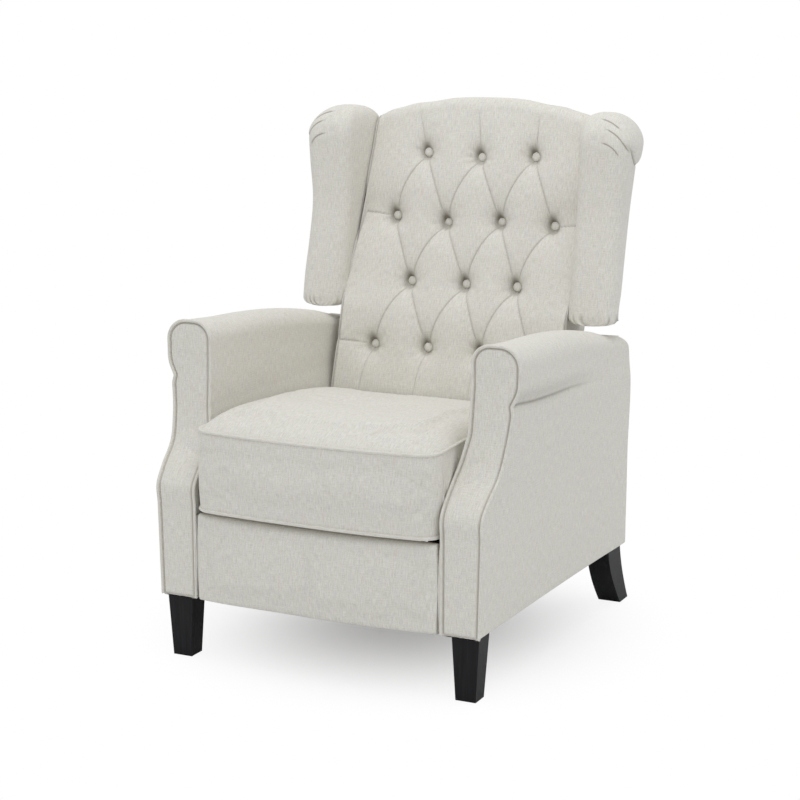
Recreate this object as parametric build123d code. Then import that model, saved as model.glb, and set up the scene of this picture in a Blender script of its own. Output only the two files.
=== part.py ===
from build123d import *
import os
from math import atan, atan2, cos, degrees, hypot, radians, sin, tan

# Wingback push-back recliner, in millimetres. +Z is up, the sitter faces -Y
# and +X is on the right as seen from the front. The origin is on the floor,
# under the middle of the whole chair.

# ---- overall size ----
WIDTH, DEPTH, HEIGHT = 711.2, 831.85, 1016.0
FRONT_Y, REAR_Y = -DEPTH / 2, DEPTH / 2

# ---- arms: rolled, upholstered down to a straight hem ----
HEM_Z = 123.0
ARM_IN_X = 250.0
ARM_FOOT_Y = -387.0
ROLL_FRONT_Y = -297.0
ARM_REAR_Y = 318.0
FACING = 10.0
# per evenly spaced station, front to rear: roll centre x, roll radius, top z,
# outer x at the hem, the knee and the neck
ARM_STATIONS = [
    (WIDTH / 2 - 45.0, 45.0, 628.0, 322.0, 327.0, 340.0),
    (309.5, 44.5, 622.0, 324.0, 329.0, 340.0),
    (308.0, 44.0, 617.0, 326.0, 331.0, 340.0),
    (306.5, 43.0, 609.0, 328.5, 333.5, 340.5),
    (305.0, 41.5, 597.0, 331.0, 336.0, 341.0),
    (303.0, 39.5, 577.0, 334.5, 339.0, 341.5),
    (300.5, 37.0, 548.0, 337.5, 340.5, 340.5),
]
KNEE_Z, NECK_Z = 350.0, 450.0
# the S of the front edge in (y, z), between the shin and the foot of the roll
SHIN_Z, ROLL_FOOT_Z = 340.0, 520.0
ARM_BEND = [(-366.0, 366.0), (-330.0, 400.0), (-308.0, 450.0)]
UNDER_Z, OVER_Z, ARM_SPAN = HEM_Z - 5, 700.0, (200.0, 400.0)
INNER_SPAN = (-260.0, 260.0)

# ---- legs ----
FRONT_LEG_X, FRONT_LEG_Y = 291.5, -353.5
REAR_LEG_TOP, REAR_LEG_FOOT = (307.0, 281.5), (316.7, 319.5)
GLIDE, GLIDE_R = 3.0, 11.0
LEG_BOLT_R = 4.0

# ---- seat cushion and footrest pad ----
CUSHION_X = 247.0
LIP_Z, CUSHION_FLOOR_Z = 297.0, 342.0
LIP_REAR_Y = -372.0
PAD_X = 248.5
PAD_Z0, PAD_Z1 = 122.0, 288.0
BOARD_Y0, BOARD_Y1 = -377.0, -365.0

# ---- back: a leaning pad, thick at the foot and thin at the crest ----
BACK_X = 243.0
BACK_FOOT_Z, BACK_FOOT_Y = 300.0, 264.0
BACK_SLOPE = (REAR_Y - BACK_FOOT_Y) / (HEIGHT - BACK_FOOT_Z)
BACK_HEM_Z = 305.0
SHELL_T, FRAME_T, WEB_T = 10.0, 25.0, 2.0
# front of the back pad: height above the floor and depth before the rear plane
PAD_PROFILE = [(305.0, 140.0), (424.0, 136.0), (512.0, 123.0), (569.0, 115.0),
               (639.0, 96.0), (700.0, 82.0), (765.0, 72.0), (841.0, 70.0),
               (895.0, 68.0), (960.0, 60.0)]
CREST_EDGE_Z = 977.0
ABOVE_Z = HEIGHT + 24.0

# ---- tufting: rows of covered buttons, every second row shifted by half ----
BUTTON_STEP = 116.6
BUTTON_R, BUTTON_T = 9.0, 5.5
DIMPLE_FLARE, DIMPLE_REACH = 26.0, 44.0
FOLD_HALF_ANGLE, FOLD_ROOT, FOLD_REACH = 10.0, 9.0, 50.0
# height, depth before the rear plane, number of buttons
BUTTON_ROWS = [(895.6, 41.0, 3), (765.5, 44.0, 4), (639.0, 64.0, 3), (512.0, 96.0, 4)]

# ---- wings: height, front y, rear y, outer x front, outer x rear ----
WING_IN_X = BACK_X
WING_STATIONS = [
    (598.0, 196.0, 296.0, 349.0, 320.0),
    (640.0, 202.0, 309.0, 347.5, 320.5),
    (720.0, 217.0, 331.0, 341.5, 320.0),
    (804.0, 232.0, 354.0, 341.0, 319.5),
    (880.0, 236.0, 376.0, 348.0, 320.5),
    (945.0, 238.0, 394.0, 351.0, 328.0),
    (980.0, 252.0, 398.0, 341.0, 317.0),
    (1000.0, 282.0, 380.0, 316.0, 302.0),
]

# ---- mechanism planes, measured outwards from the middle ----
U_X, V_X = (206.5, 209.5), (210.0, 213.0)
RAIL_X = (216.5, 219.5)
SWING_X = (222.5, 227.5)
BASE_RAIL_X = (230.5, 233.5)
BRACKET_X = (212.5, 215.5)
SHANK_R, HOLE_R, HEAD_R, HEAD_T = 4.0, 4.05, 7.0, 2.0
SCREW_R, SCREW_HEAD_R = 3.0, 6.5

# ---- footrest lazy tongs ----
TONG_HALF = 75.0
TONG_SHUT, TONG_OPEN = 8.0, 82.0
TONG_W = 18.0
TOP_PIN_Z = 284.0
BOARD_PIN_Y = -341.0

# ---- swing links: a parallelogram that carries the seat forwards and up ----
SWING_L = 110.0
SWING_REST = 5.0
SWING_PIN_Z = 268.0
SWING_FRONT_Y, SWING_REAR_Y = -200.0, 110.0

# ---- back hinge ----
HINGE_Y, HINGE_Z = 225.0, 290.0

BETA = atan(BACK_SLOPE)
BACK_PLANE = Plane(
    origin=(0, BACK_FOOT_Y, BACK_FOOT_Z), x_dir=(1, 0, 0), z_dir=(0, -cos(BETA), sin(BETA))
)


def block(x0, x1, y0, y1, z0, z1):
    """A box between two corners."""
    low = Pos(x0, y0, z0)
    return low * Box(x1 - x0, y1 - y0, z1 - z0, align=(Align.MIN,) * 3)


def back_block(x0, x1, s0, s1, t0, t1):
    """A box in the back's leaning frame: s up the slope, t towards the front."""
    return BACK_PLANE * block(x0, x1, s0, s1, t0, t1)


def across(y, z, r, x0, x1):
    """A round bar along X."""
    low, high = min(x0, x1), max(x0, x1)
    return extrude(Plane.YZ.offset(low) * Pos(y, z) * Circle(r), high - low)


def flat_bar(y, z, r, x0, x1, sides=8):
    """A flat-sided bar along X: a screw, a bolt, or the head of a rivet."""
    low, high = min(x0, x1), max(x0, x1)
    return extrude(Plane.YZ.offset(low) * Pos(y, z) * RegularPolygon(r, sides), high - low)


def side_plate(outline, span):
    """An outline drawn in (y, z), as a plate between the two x of span."""
    return extrude(Plane.YZ.offset(span[0]) * outline, span[1] - span[0])


def slot_between(a, b, width):
    """A round-ended bar from a to b, both (y, z)."""
    turn = degrees(atan2(b[1] - a[1], b[0] - a[0]))
    length = hypot(b[0] - a[0], b[1] - a[1])
    middle = Pos((a[0] + b[0]) / 2, (a[1] + b[1]) / 2)
    return middle * Rot(0, 0, turn) * SlotCenterToCenter(length, width)


def hole(at, r=HOLE_R):
    return Pos(at[0], at[1]) * Circle(r)


def both(*shapes):
    """Right-hand solids and their mirror images, as one group."""
    solids = [solid for shape in shapes for solid in shape.solids()]
    return Compound(children=solids + [solid.mirror(Plane.YZ) for solid in solids])


def rivet(at, shank, head_in, head_out):
    """A riveted pin: its shank and the gap left under each head, in x."""
    return (
        across(at[0], at[1], SHANK_R, shank[0], shank[1])
        + flat_bar(at[0], at[1], HEAD_R, head_in - HEAD_T, head_in)
        + flat_bar(at[0], at[1], HEAD_R, head_out, head_out + HEAD_T)
    )


def save(name, shape):
    export_step(shape, f"parts/{name}.step")


def save_pair(name, shape):
    save(name + "_right", shape)
    save(name + "_left", shape.mirror(Plane.YZ))


# ================= arms =================
def arm_section(y, cx, r, top, hem, knee, neck):
    """Closed face in the XZ plane: hem, wall, roll and inner wall."""
    cz = top - r
    out_a, in_a = radians(-35), radians(200)
    roll_out = (cx + r * cos(out_a), cz + r * sin(out_a))
    roll_in = (cx + r * cos(in_a), cz + r * sin(in_a))
    neck_z = min(NECK_Z, cz - 60)
    arc_out = (cx + r * cos(radians(25)), cz + r * sin(radians(25)))
    arc_in = (cx + r * cos(radians(145)), cz + r * sin(radians(145)))
    edges = [
        Line((ARM_IN_X, HEM_Z), (hem, HEM_Z)),
        Line((hem, HEM_Z), (knee, KNEE_Z)),
        Line((knee, KNEE_Z), (neck, neck_z)),
        Line((neck, neck_z), roll_out),
        ThreePointArc(roll_out, arc_out, (cx, top)),
        ThreePointArc((cx, top), arc_in, roll_in),
        Line(roll_in, (roll_in[0] - 3, neck_z + 20)),
        Line((roll_in[0] - 3, neck_z + 20), (ARM_IN_X, neck_z - 55)),
        Line((ARM_IN_X, neck_z - 55), (ARM_IN_X, HEM_Z)),
    ]
    plane = Plane(origin=(0, y, 0), x_dir=(1, 0, 0), z_dir=(0, -1, 0))
    return plane * make_face(Wire(edges))


def arm_front_line(shift):
    """The S of the arm's front edge, from the hem up, moved back by shift."""
    foot, roll = ARM_FOOT_Y + shift, ROLL_FRONT_Y + shift
    bend = [(y + shift, z) for y, z in ARM_BEND]
    s_curve = Spline((foot, SHIN_Z), *bend, (roll, ROLL_FOOT_Z), tangents=[(0, 1), (0, 1)])
    return Line((foot, UNDER_Z), (foot, SHIN_Z)) + s_curve + Line((roll, ROLL_FOOT_Z), (roll, OVER_Z))


def arm_pieces():
    """The upholstered arm, and the facing panel on its front."""
    step = (ARM_REAR_Y - ROLL_FRONT_Y) / (len(ARM_STATIONS) - 1)
    sections = [
        arm_section(ROLL_FRONT_Y + index * step, *station)
        for index, station in enumerate(ARM_STATIONS)
    ]
    roll = loft(sections)
    prow = extrude(sections[0], ROLL_FRONT_Y - ARM_FOOT_Y)
    inside, ahead = ROLL_FRONT_Y + 100, ARM_FOOT_Y - 100
    keep = arm_front_line(0) + Polyline(
        (ROLL_FRONT_Y, OVER_Z), (inside, OVER_Z), (inside, UNDER_Z), (ARM_FOOT_Y, UNDER_Z)
    )
    arm = roll + (prow & side_plate(make_face(keep), ARM_SPAN))
    band = arm_front_line(FACING) + Polyline(
        (ROLL_FRONT_Y + FACING, OVER_Z), (ahead, OVER_Z), (ahead, UNDER_Z), (ARM_FOOT_Y + FACING, UNDER_Z)
    )
    band = side_plate(make_face(band), ARM_SPAN)
    past = ARM_REAR_Y + 40
    heel = make_face(Polyline(
        (past, 320), (ARM_REAR_Y, 320), (ARM_REAR_Y - 18, UNDER_Z), (past, UNDER_Z), close=True
    ))
    shoulder = ThreePointArc((ARM_REAR_Y, 505), (ARM_REAR_Y - 12, 540), (ARM_REAR_Y - 48, 568))
    shoulder += Polyline(
        (ARM_REAR_Y - 48, 568), (ARM_REAR_Y - 48, OVER_Z), (past, OVER_Z), (past, 505), (ARM_REAR_Y, 505)
    )
    arm = arm - side_plate(heel, ARM_SPAN) - side_plate(make_face(shoulder), ARM_SPAN)
    return arm - band, arm & band


arm, facing = arm_pieces()
save_pair("arm_facing", facing)

# ================= legs =================
def square_at(x, y, z, width, depth):
    return Plane(origin=(x, y, z)) * Rectangle(width, depth)


BOLT_TOP, BOLT_FOOT = HEM_Z + 30, HEM_Z - 45
front_leg = loft([
    square_at(FRONT_LEG_X - 0.5, FRONT_LEG_Y - 1, GLIDE, 39.0, 37.0),
    square_at(FRONT_LEG_X, FRONT_LEG_Y, HEM_Z, 53.0, 45.0),
])
rear_leg = loft([
    square_at(REAR_LEG_FOOT[0], REAR_LEG_FOOT[1], GLIDE, 46.5, 45.0),
    square_at(312.0, 300.5, 45.0, 47.0, 57.0),
    square_at(309.0, 286.0, 88.0, 46.5, 66.0),
    square_at(REAR_LEG_TOP[0], REAR_LEG_TOP[1], HEM_Z, 46.5, 67.0),
])
bolt_places = [(FRONT_LEG_X, FRONT_LEG_Y), REAR_LEG_TOP]
glide_places = [(FRONT_LEG_X - 0.5, FRONT_LEG_Y - 1), REAR_LEG_FOOT]


def upright(x, y, r, z0, z1):
    """A flat-sided bar along Z."""
    return extrude(Plane.XY.offset(z0) * Pos(x, y) * RegularPolygon(r, 8), z1 - z0)


leg_bolts = [upright(x, y, LEG_BOLT_R, BOLT_FOOT, BOLT_TOP) for x, y in bolt_places]
save_pair("leg_front", front_leg - leg_bolts[0])
save_pair("leg_rear", rear_leg - leg_bolts[1])
glides = [upright(x, y, GLIDE_R, 0.0, GLIDE) for x, y in glide_places]
save("leg_bolts", both(*leg_bolts))
save("leg_glides", both(*glides))
arm = arm - leg_bolts

# ================= fixed base: rails, tubes and cleats =================
TUBE = 25.0
TUBE_Z = 165.0
TUBE_YS = (-180.0, 150.0)
swing_pins = [(SWING_FRONT_Y, SWING_PIN_Z), (SWING_REAR_Y, SWING_PIN_Z)]
SWING_FORWARD = SWING_L * sin(radians(SWING_REST))
SWING_DROP = SWING_L * cos(radians(SWING_REST))
carriage_pins = [(y - SWING_FORWARD, SWING_PIN_Z - SWING_DROP) for y in (SWING_FRONT_Y, SWING_REAR_Y)]

rail_outline = Pos(-35, SWING_PIN_Z) * RectangleRounded(470, 40, 12)
for tube_y in TUBE_YS:
    tab = make_face(Polyline(
        (tube_y - 12, TUBE_Z - 6), (tube_y + TUBE + 12, TUBE_Z - 6),
        (tube_y + TUBE + 24, SWING_PIN_Z), (tube_y - 24, SWING_PIN_Z), close=True,
    ))
    rail_outline += tab
bolt_ys = (-245.0, -90.0, 30.0, 185.0)
for pin_at in swing_pins:
    rail_outline -= hole(pin_at, SHANK_R)
base_rail = side_plate(rail_outline, BASE_RAIL_X)

cleat = block(BASE_RAIL_X[1], ARM_IN_X, -262, 195, 248, 288)
rail_screws = []
for y in bolt_ys:
    screw = flat_bar(y, SWING_PIN_Z, SCREW_R, BASE_RAIL_X[0], ARM_IN_X + 25)
    screw += flat_bar(y, SWING_PIN_Z, SCREW_HEAD_R, BASE_RAIL_X[0] - 1.6, BASE_RAIL_X[0], 6)
    rail_screws.append(screw)
save_pair("base_rail", base_rail - rail_screws)
save_pair("rail_cleat", cleat - rail_screws)
arm = arm - rail_screws
save_pair("arm", arm)
save("rail_screws", both(*rail_screws))

for name, tube_y in zip(("cross_tube_front", "cross_tube_rear"), TUBE_YS):
    half = BASE_RAIL_X[0]
    tube = block(-half, half, tube_y, tube_y + TUBE, TUBE_Z, TUBE_Z + TUBE)
    tube -= block(-half, half, tube_y + 2, tube_y + TUBE - 2, TUBE_Z + 2, TUBE_Z + TUBE - 2)
    save(name, tube)

front_stretcher = block(-ARM_IN_X, ARM_IN_X, -276, -241, HEM_Z + 3, HEM_Z + 19)
save("front_stretcher", front_stretcher)
rear_panel = block(-ARM_IN_X, ARM_IN_X, 270, 300, HEM_Z, 292)
rear_panel = fillet(rear_panel.edges().filter_by(Axis.X).group_by(Axis.Y)[-1], 8)
save("rear_panel", rear_panel)

# ================= swing links =================
def swing_piece(top, low):
    bar = slot_between(top, low, 24.0) - hole(top) - hole(low)
    return side_plate(bar, SWING_X)


for name, top, low in (
    ("swing_link_front", swing_pins[0], carriage_pins[0]),
    ("swing_link_rear", swing_pins[1], carriage_pins[1]),
):
    save(name, both(swing_piece(top, low)))

base_pins = [
    across(y, z, SHANK_R, SWING_X[0] - 0.1, BASE_RAIL_X[1])
    + flat_bar(y, z, HEAD_R, SWING_X[0] - 0.1 - HEAD_T, SWING_X[0] - 0.1)
    + flat_bar(y, z, HEAD_R, SWING_X[1] + 0.1, BASE_RAIL_X[0])
    for y, z in swing_pins
]
save("swing_pins_base", both(*base_pins))

# ================= seat carriage =================
TONG_STEP = 2 * TONG_HALF * sin(radians(TONG_SHUT))
TONG_DROP = 2 * TONG_HALF * cos(radians(TONG_SHUT))
mount_pin = (BOARD_PIN_Y + 2 * TONG_STEP, TOP_PIN_Z)
slide_pin = (mount_pin[0], TOP_PIN_Z - TONG_DROP)
slide_top = TOP_PIN_Z - 2 * TONG_HALF * cos(radians(TONG_OPEN))
SLIDE_FIT = 0.1

plate = make_face(Polyline(
    (mount_pin[0] - 16, 308), (mount_pin[0] - 16, 125), (mount_pin[0] + 14, 125),
    (mount_pin[0] + 16, 262), (carriage_pins[0][0] - 22, 276), (carriage_pins[0][0] - 14, 150),
    (carriage_pins[0][0] + 14, 150), (carriage_pins[0][0] + 22, 278), (carriage_pins[1][0] - 22, 278),
    (carriage_pins[1][0] - 14, 150), (carriage_pins[1][0] + 14, 150), (carriage_pins[1][0] + 24, 278),
    (HINGE_Y, HINGE_Z - 12), (HINGE_Y, HINGE_Z + 10), (112, 300), (100, 308), close=True,
))
plate += Pos(HINGE_Y, HINGE_Z) * Circle(12)
plate += Pos(carriage_pins[0][0], carriage_pins[0][1]) * Circle(14)
plate += Pos(carriage_pins[1][0], carriage_pins[1][1]) * Circle(14)
plate -= hole(mount_pin, SHANK_R)
plate -= hole((HINGE_Y, HINGE_Z))
for pin_at in carriage_pins:
    plate -= hole(pin_at, SHANK_R)
plate -= slot_between(slide_pin, (slide_pin[0], slide_top), 2 * (SHANK_R + SLIDE_FIT))
flange = block(196, RAIL_X[0], mount_pin[0] - 16, 100, 305, 308)
seat_plate = side_plate(plate, RAIL_X) + flange
save_pair("seat_plate", seat_plate)

carriage_rivets = [
    across(y, z, SHANK_R, RAIL_X[0], SWING_X[1] + 0.1)
    + flat_bar(y, z, HEAD_R, RAIL_X[1], SWING_X[0] - 0.1)
    + flat_bar(y, z, HEAD_R, SWING_X[1] + 0.1, SWING_X[1] + 0.1 + HEAD_T)
    + flat_bar(y, z, HEAD_R, RAIL_X[0] - 1.2, RAIL_X[0])
    for y, z in carriage_pins
]

mount_rivet = (
    across(*mount_pin, SHANK_R, U_X[0] - 0.1, RAIL_X[1])
    + flat_bar(*mount_pin, HEAD_R, U_X[0] - 0.1 - HEAD_T, U_X[0] - 0.1)
    + flat_bar(*mount_pin, HEAD_R - 1, U_X[1] + 0.1, RAIL_X[0])
    + flat_bar(*mount_pin, HEAD_R, RAIL_X[1], RAIL_X[1] + HEAD_T)
)
save("carriage_pins", both(*carriage_rivets, mount_rivet))

WOOD_Z0, WOOD_Z1 = 308.0, CUSHION_FLOOR_Z
save_pair("seat_side_rail", block(195, 240, LIP_REAR_Y, 95, WOOD_Z0, WOOD_Z1))
WIRE = 3.0
SPRING_Z = WOOD_Z1 - WIRE / 2
save("seat_front_rail", block(-195, 195, LIP_REAR_Y, LIP_REAR_Y + 32, WOOD_Z0, WOOD_Z1 - WIRE))
save("seat_rear_rail", block(-195, 195, 65, 95, WOOD_Z0, WOOD_Z1 - WIRE))

# sinuous springs: flat zigzag wires hooked from the front rail to the rear rail
SPRING_XS = (-115.0, 0.0, 115.0)
CURLS = 8
CURL_LEG = 12.0
HOOK = 18.0
SPRING_ENDS = (LIP_REAR_Y + 6, 90.0)


def sinuous(x):
    """A flat zigzag wire along Y: half turns joined by short legs, with straight hooked ends."""
    y0, y1 = SPRING_ENDS
    r = (y1 - y0 - 2 * HOOK) / (2 * CURLS + 2)
    bow = r * sin(radians(45))
    y = y0 + HOOK + r
    path = [
        Line((x, y0), (x, y0 + HOOK)),
        ThreePointArc((x, y0 + HOOK), (x + r - bow, y0 + HOOK + bow), (x + r, y)),
    ]
    side, here = 1, x + r
    for _ in range(CURLS):
        far = x + side * (r + CURL_LEG / 2)
        path.append(Line((here, y), (far, y)))
        path.append(ThreePointArc((far, y), (far + side * r, y + r), (far, y + 2 * r)))
        here, y, side = far, y + 2 * r, -side
    path.append(Line((here, y), (x - r, y)))
    path.append(ThreePointArc((x - r, y), (x - r + bow, y + r - bow), (x, y + r)))
    path.append(Line((x, y + r), (x, y1)))
    wire = Plane.XY.offset(SPRING_Z) * Wire(path)
    section = Plane(origin=(x, y0, SPRING_Z), z_dir=(0, 1, 0)) * Rectangle(WIRE, WIRE)
    return sweep(section, path=wire), wire


def least_gap(wire, thickness):
    """Clear space between stretches of a wire that are over three thicknesses apart along it."""
    count = int(wire.length)
    points = [wire.position_at(index / count) for index in range(count + 1)]
    skip = int(3 * thickness) + 1
    return min(
        (a - b).length - thickness
        for index, a in enumerate(points)
        for b in points[index + skip:]
    )


springs, wires = zip(*[sinuous(x) for x in SPRING_XS])
print("least gap of a spring to itself, mm:", round(least_gap(wires[0], WIRE), 2))
save("seat_springs", Compound(children=list(springs)))

CLIP = 14.0
clips = []
for x in SPRING_XS:
    for y0 in (SPRING_ENDS[0], SPRING_ENDS[1] - CLIP):
        y1 = y0 + CLIP
        clip = block(x - 7, x + 7, y0, y1, WOOD_Z1 - WIRE, WOOD_Z1 + 1.5)
        clips.append(clip - block(x - WIRE / 2, x + WIRE / 2, y0, y1, WOOD_Z1 - WIRE, WOOD_Z1))
save("spring_clips", Compound(children=clips))

# ================= seat cushion =================
def cushion_shape():
    """Boxed cushion: crowned top, bowed front, and a lip over the front rail."""
    side = make_face(
        Polyline((-400, LIP_Z), (-430, LIP_Z), (-430, 446), (FRONT_Y + 3, 446))
        + ThreePointArc((FRONT_Y + 3, 446), (-330, 462), (-180, 467))
        + ThreePointArc((-180, 467), (0, 462), (150, 436))
        + Polyline((150, 436), (121, WOOD_Z1), (LIP_REAR_Y, WOOD_Z1), (LIP_REAR_Y, LIP_Z), (-400, LIP_Z))
    )
    plan = make_face(
        ThreePointArc((-CUSHION_X, -399), (0, FRONT_Y), (CUSHION_X, -399))
        + ThreePointArc((CUSHION_X, -399), (CUSHION_X - 2.5, -150), (CUSHION_X - 1, 170))
        + Line((CUSHION_X - 1, 170), (1 - CUSHION_X, 170))
        + ThreePointArc((1 - CUSHION_X, 170), (2.5 - CUSHION_X, -150), (-CUSHION_X, -399))
    )
    front = make_face(
        Polyline((-CUSHION_X, 436), (-CUSHION_X, LIP_Z), (CUSHION_X, LIP_Z), (CUSHION_X, 436))
        + ThreePointArc((CUSHION_X, 436), (CUSHION_X - 7, 448), (CUSHION_X - 22, 454))
        + ThreePointArc((CUSHION_X - 22, 454), (0, 468), (22 - CUSHION_X, 454))
        + ThreePointArc((22 - CUSHION_X, 454), (7 - CUSHION_X, 448), (-CUSHION_X, 436))
    )
    face_prism = Pos(0, 200, 0) * extrude(Plane.XZ * front, 700)
    return side_plate(side, INNER_SPAN) & extrude(plan, 600) & face_prism


cushion = cushion_shape() - clips
save("seat_cushion", cushion)

# ================= footrest =================
def tong(pin_from, pin_to, span, fixed=()):
    """A flat link; its rivets sit tight in the holes named by fixed."""
    centre = ((pin_from[0] + pin_to[0]) / 2, (pin_from[1] + pin_to[1]) / 2)
    bar = slot_between(pin_from, pin_to, TONG_W)
    for index, at in enumerate((pin_from, centre, pin_to)):
        bar -= hole(at, SHANK_R if index in fixed else HOLE_R)
    return side_plate(bar, span)


def along(pin_at, forward, down):
    return (pin_at[0] - forward, pin_at[1] - down)


first_top = along(mount_pin, TONG_STEP, 0)
first_low = along(mount_pin, TONG_STEP, TONG_DROP)
second_top = along(mount_pin, 2 * TONG_STEP, 0)
second_low = along(mount_pin, 2 * TONG_STEP, TONG_DROP)
board_low = along(second_top, TONG_STEP / 2, TONG_DROP / 2)


def middle(a, b):
    return ((a[0] + b[0]) / 2, (a[1] + b[1]) / 2)


def tong_rivet(at, gap_in, gap_out):
    """A rivet through both link planes, free under one head and tight under the other."""
    low, high = U_X[0] - gap_in, V_X[1] + gap_out
    return rivet(at, (low, high), low, high)


FREE = 0.1
save("drive_link", both(tong(mount_pin, first_low, U_X, (1, 2))))
drive_rivets = [tong_rivet(at, 0, FREE) for at in (middle(mount_pin, first_low), first_low)]
save("drive_link_rivets", both(*drive_rivets))
save("slide_link", both(tong(slide_pin, first_top, V_X, (0, 2))))
slide_rivet = (
    across(*slide_pin, SHANK_R, V_X[0], RAIL_X[1] + FREE)
    + flat_bar(*slide_pin, HEAD_R - 1, V_X[1], RAIL_X[0] - FREE)
    + flat_bar(*slide_pin, HEAD_R, RAIL_X[1] + FREE, RAIL_X[1] + FREE + HEAD_T)
)
save("slide_link_rivets", both(slide_rivet, tong_rivet(first_top, FREE, 0)))
save("front_link", both(tong(first_top, second_low, U_X, (1, 2))))
front_rivets = [tong_rivet(at, 0, FREE) for at in (middle(first_top, second_low), second_low)]
save("front_link_rivets", both(*front_rivets))
save("cross_link", both(tong(first_low, second_top, V_X, (2,))))
save("cross_link_rivets", both(tong_rivet(second_top, FREE, 0)))
short = slot_between(second_low, board_low, TONG_W) - hole(second_low) - hole(board_low)
save("short_link", both(side_plate(short, V_X)))

# the bracket's flange lies on the back of the board and takes two screws
FLANGE_X, FLANGE_Z = 184.0, (196.0, 274.0)
FLANGE_SCREW_X, FLANGE_SCREW_ZS = 193.0, (212.0, 258.0)
bracket = slot_between(second_top, board_low, TONG_W) + make_face(Polyline(
    (BOARD_Y1, FLANGE_Z[0]), (second_top[0] - 8, FLANGE_Z[0] + 4),
    (second_top[0] - 2, FLANGE_Z[1]), (BOARD_Y1, FLANGE_Z[1]), close=True))
bracket -= hole(second_top)
bracket -= hole(board_low, SHANK_R)
bracket = side_plate(bracket, U_X) + block(FLANGE_X, U_X[1], BOARD_Y1, BOARD_Y1 + 3, *FLANGE_Z)
board_screws = []
for z in FLANGE_SCREW_ZS:
    plane = Plane(origin=(FLANGE_SCREW_X, BOARD_Y0 + 2, z), x_dir=(1, 0, 0), z_dir=(0, 1, 0))
    stem = extrude(plane * RegularPolygon(2.0, 8), BOARD_Y1 - BOARD_Y0 + 1)
    head = extrude(plane.offset(BOARD_Y1 - BOARD_Y0 + 1) * RegularPolygon(4.5, 8), 2.0)
    board_screws.append(stem + head)
board_screws += [screw.mirror(Plane.YZ) for screw in board_screws]
board = block(-PAD_X + 3, PAD_X - 3, BOARD_Y0, BOARD_Y1, PAD_Z0 + 4, PAD_Z1 - 4) - board_screws
bracket = bracket - board_screws[:2] + tong_rivet(board_low, 0, FREE)
save("footrest_bracket", both(bracket))
save("footrest_board", board)
save("footrest_screws", Compound(children=board_screws))

pad_side = make_face(
    Line((BOARD_Y0, PAD_Z1), (BOARD_Y0, PAD_Z0))
    + ThreePointArc((BOARD_Y0, PAD_Z0), (-398, PAD_Z0 + 4), (-411, PAD_Z0 + 24))
    + ThreePointArc((-411, PAD_Z0 + 24), (FRONT_Y, 205), (-411, PAD_Z1 - 22))
    + ThreePointArc((-411, PAD_Z1 - 22), (-398, PAD_Z1 - 4), (BOARD_Y0, PAD_Z1))
)
pad_plan = make_face(
    ThreePointArc((-PAD_X, -390), (0, FRONT_Y), (PAD_X, -390))
    + Polyline((PAD_X, -390), (PAD_X, BOARD_Y0), (-PAD_X, BOARD_Y0), (-PAD_X, -390))
)
footrest_pad = side_plate(pad_side, INNER_SPAN) & extrude(pad_plan, PAD_Z1 + 50)
footrest_pad -= board_screws
save("footrest_pad", footrest_pad)

# ================= back =================
def rear_y(z):
    return BACK_FOOT_Y + BACK_SLOPE * (z - BACK_FOOT_Z)


def before_rear(z, t):
    """Point (y, z) on the level z, at depth t before the rear plane."""
    return (rear_y(z) - t / cos(BETA), z)


def back_outline(inset):
    """Front view of the back: straight sides under an arched crest."""
    x, edge, top = BACK_X - inset, CREST_EDGE_Z - inset, HEIGHT - inset
    face = make_face(
        Polyline((-x, edge), (-x, BACK_HEM_Z), (x, BACK_HEM_Z), (x, edge))
        + ThreePointArc((x, edge), (x * 0.5, edge + (top - edge) * 0.76), (0, top))
        + ThreePointArc((0, top), (-x * 0.5, edge + (top - edge) * 0.76), (-x, edge))
    )
    return Pos(0, 600, 0) * extrude(Plane.XZ * face, 700)


def back_slice(t0, t1, inset=0.0):
    """Layer of the back between two depths before the rear plane."""
    layer = make_face(Polyline(
        before_rear(BACK_HEM_Z, t0), before_rear(ABOVE_Z, t0), before_rear(ABOVE_Z, t1),
        before_rear(BACK_HEM_Z, t1), close=True))
    return side_plate(layer, INNER_SPAN) & back_outline(inset)


PAD_REAR_T = SHELL_T + FRAME_T + WEB_T
front_points = [before_rear(z, t) for z, t in PAD_PROFILE]
crest_front, crest_top = before_rear(990, 50.0), before_rear(ABOVE_Z, 30.0)
pad_face = make_face(
    Spline(*front_points, crest_front)
    + Polyline(
        crest_front, crest_top, before_rear(ABOVE_Z, SHELL_T),
        before_rear(BACK_HEM_Z, SHELL_T), front_points[0],
    )
)
POST_X = (187.5, 212.5)
frame_room = back_block(-POST_X[1], POST_X[1], -40, 692, 0, PAD_REAR_T)
back_pad = (side_plate(pad_face, INNER_SPAN) & back_outline(0)) - frame_room

# frame: two posts, three rails, straps stapled over them, and the rear panel
shell = back_slice(0.0, SHELL_T)
post = back_block(POST_X[0], POST_X[1], 12, 690, SHELL_T, SHELL_T + FRAME_T)
rails = {
    "back_bottom_rail": back_block(-POST_X[0], POST_X[0], 14, 70, SHELL_T, SHELL_T + FRAME_T),
    "back_middle_rail": back_block(-POST_X[0], POST_X[0], 330, 380, SHELL_T, SHELL_T + FRAME_T),
    "back_top_rail": back_block(-POST_X[0], POST_X[0], 640, 690, SHELL_T, SHELL_T + FRAME_T),
}
WEB_W = 55.0
webs = Compound(children=[
    back_block(-POST_X[1], POST_X[1], s, s + WEB_W, SHELL_T + FRAME_T, PAD_REAR_T)
    for s in (110, 215, 420, 525)
])

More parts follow.
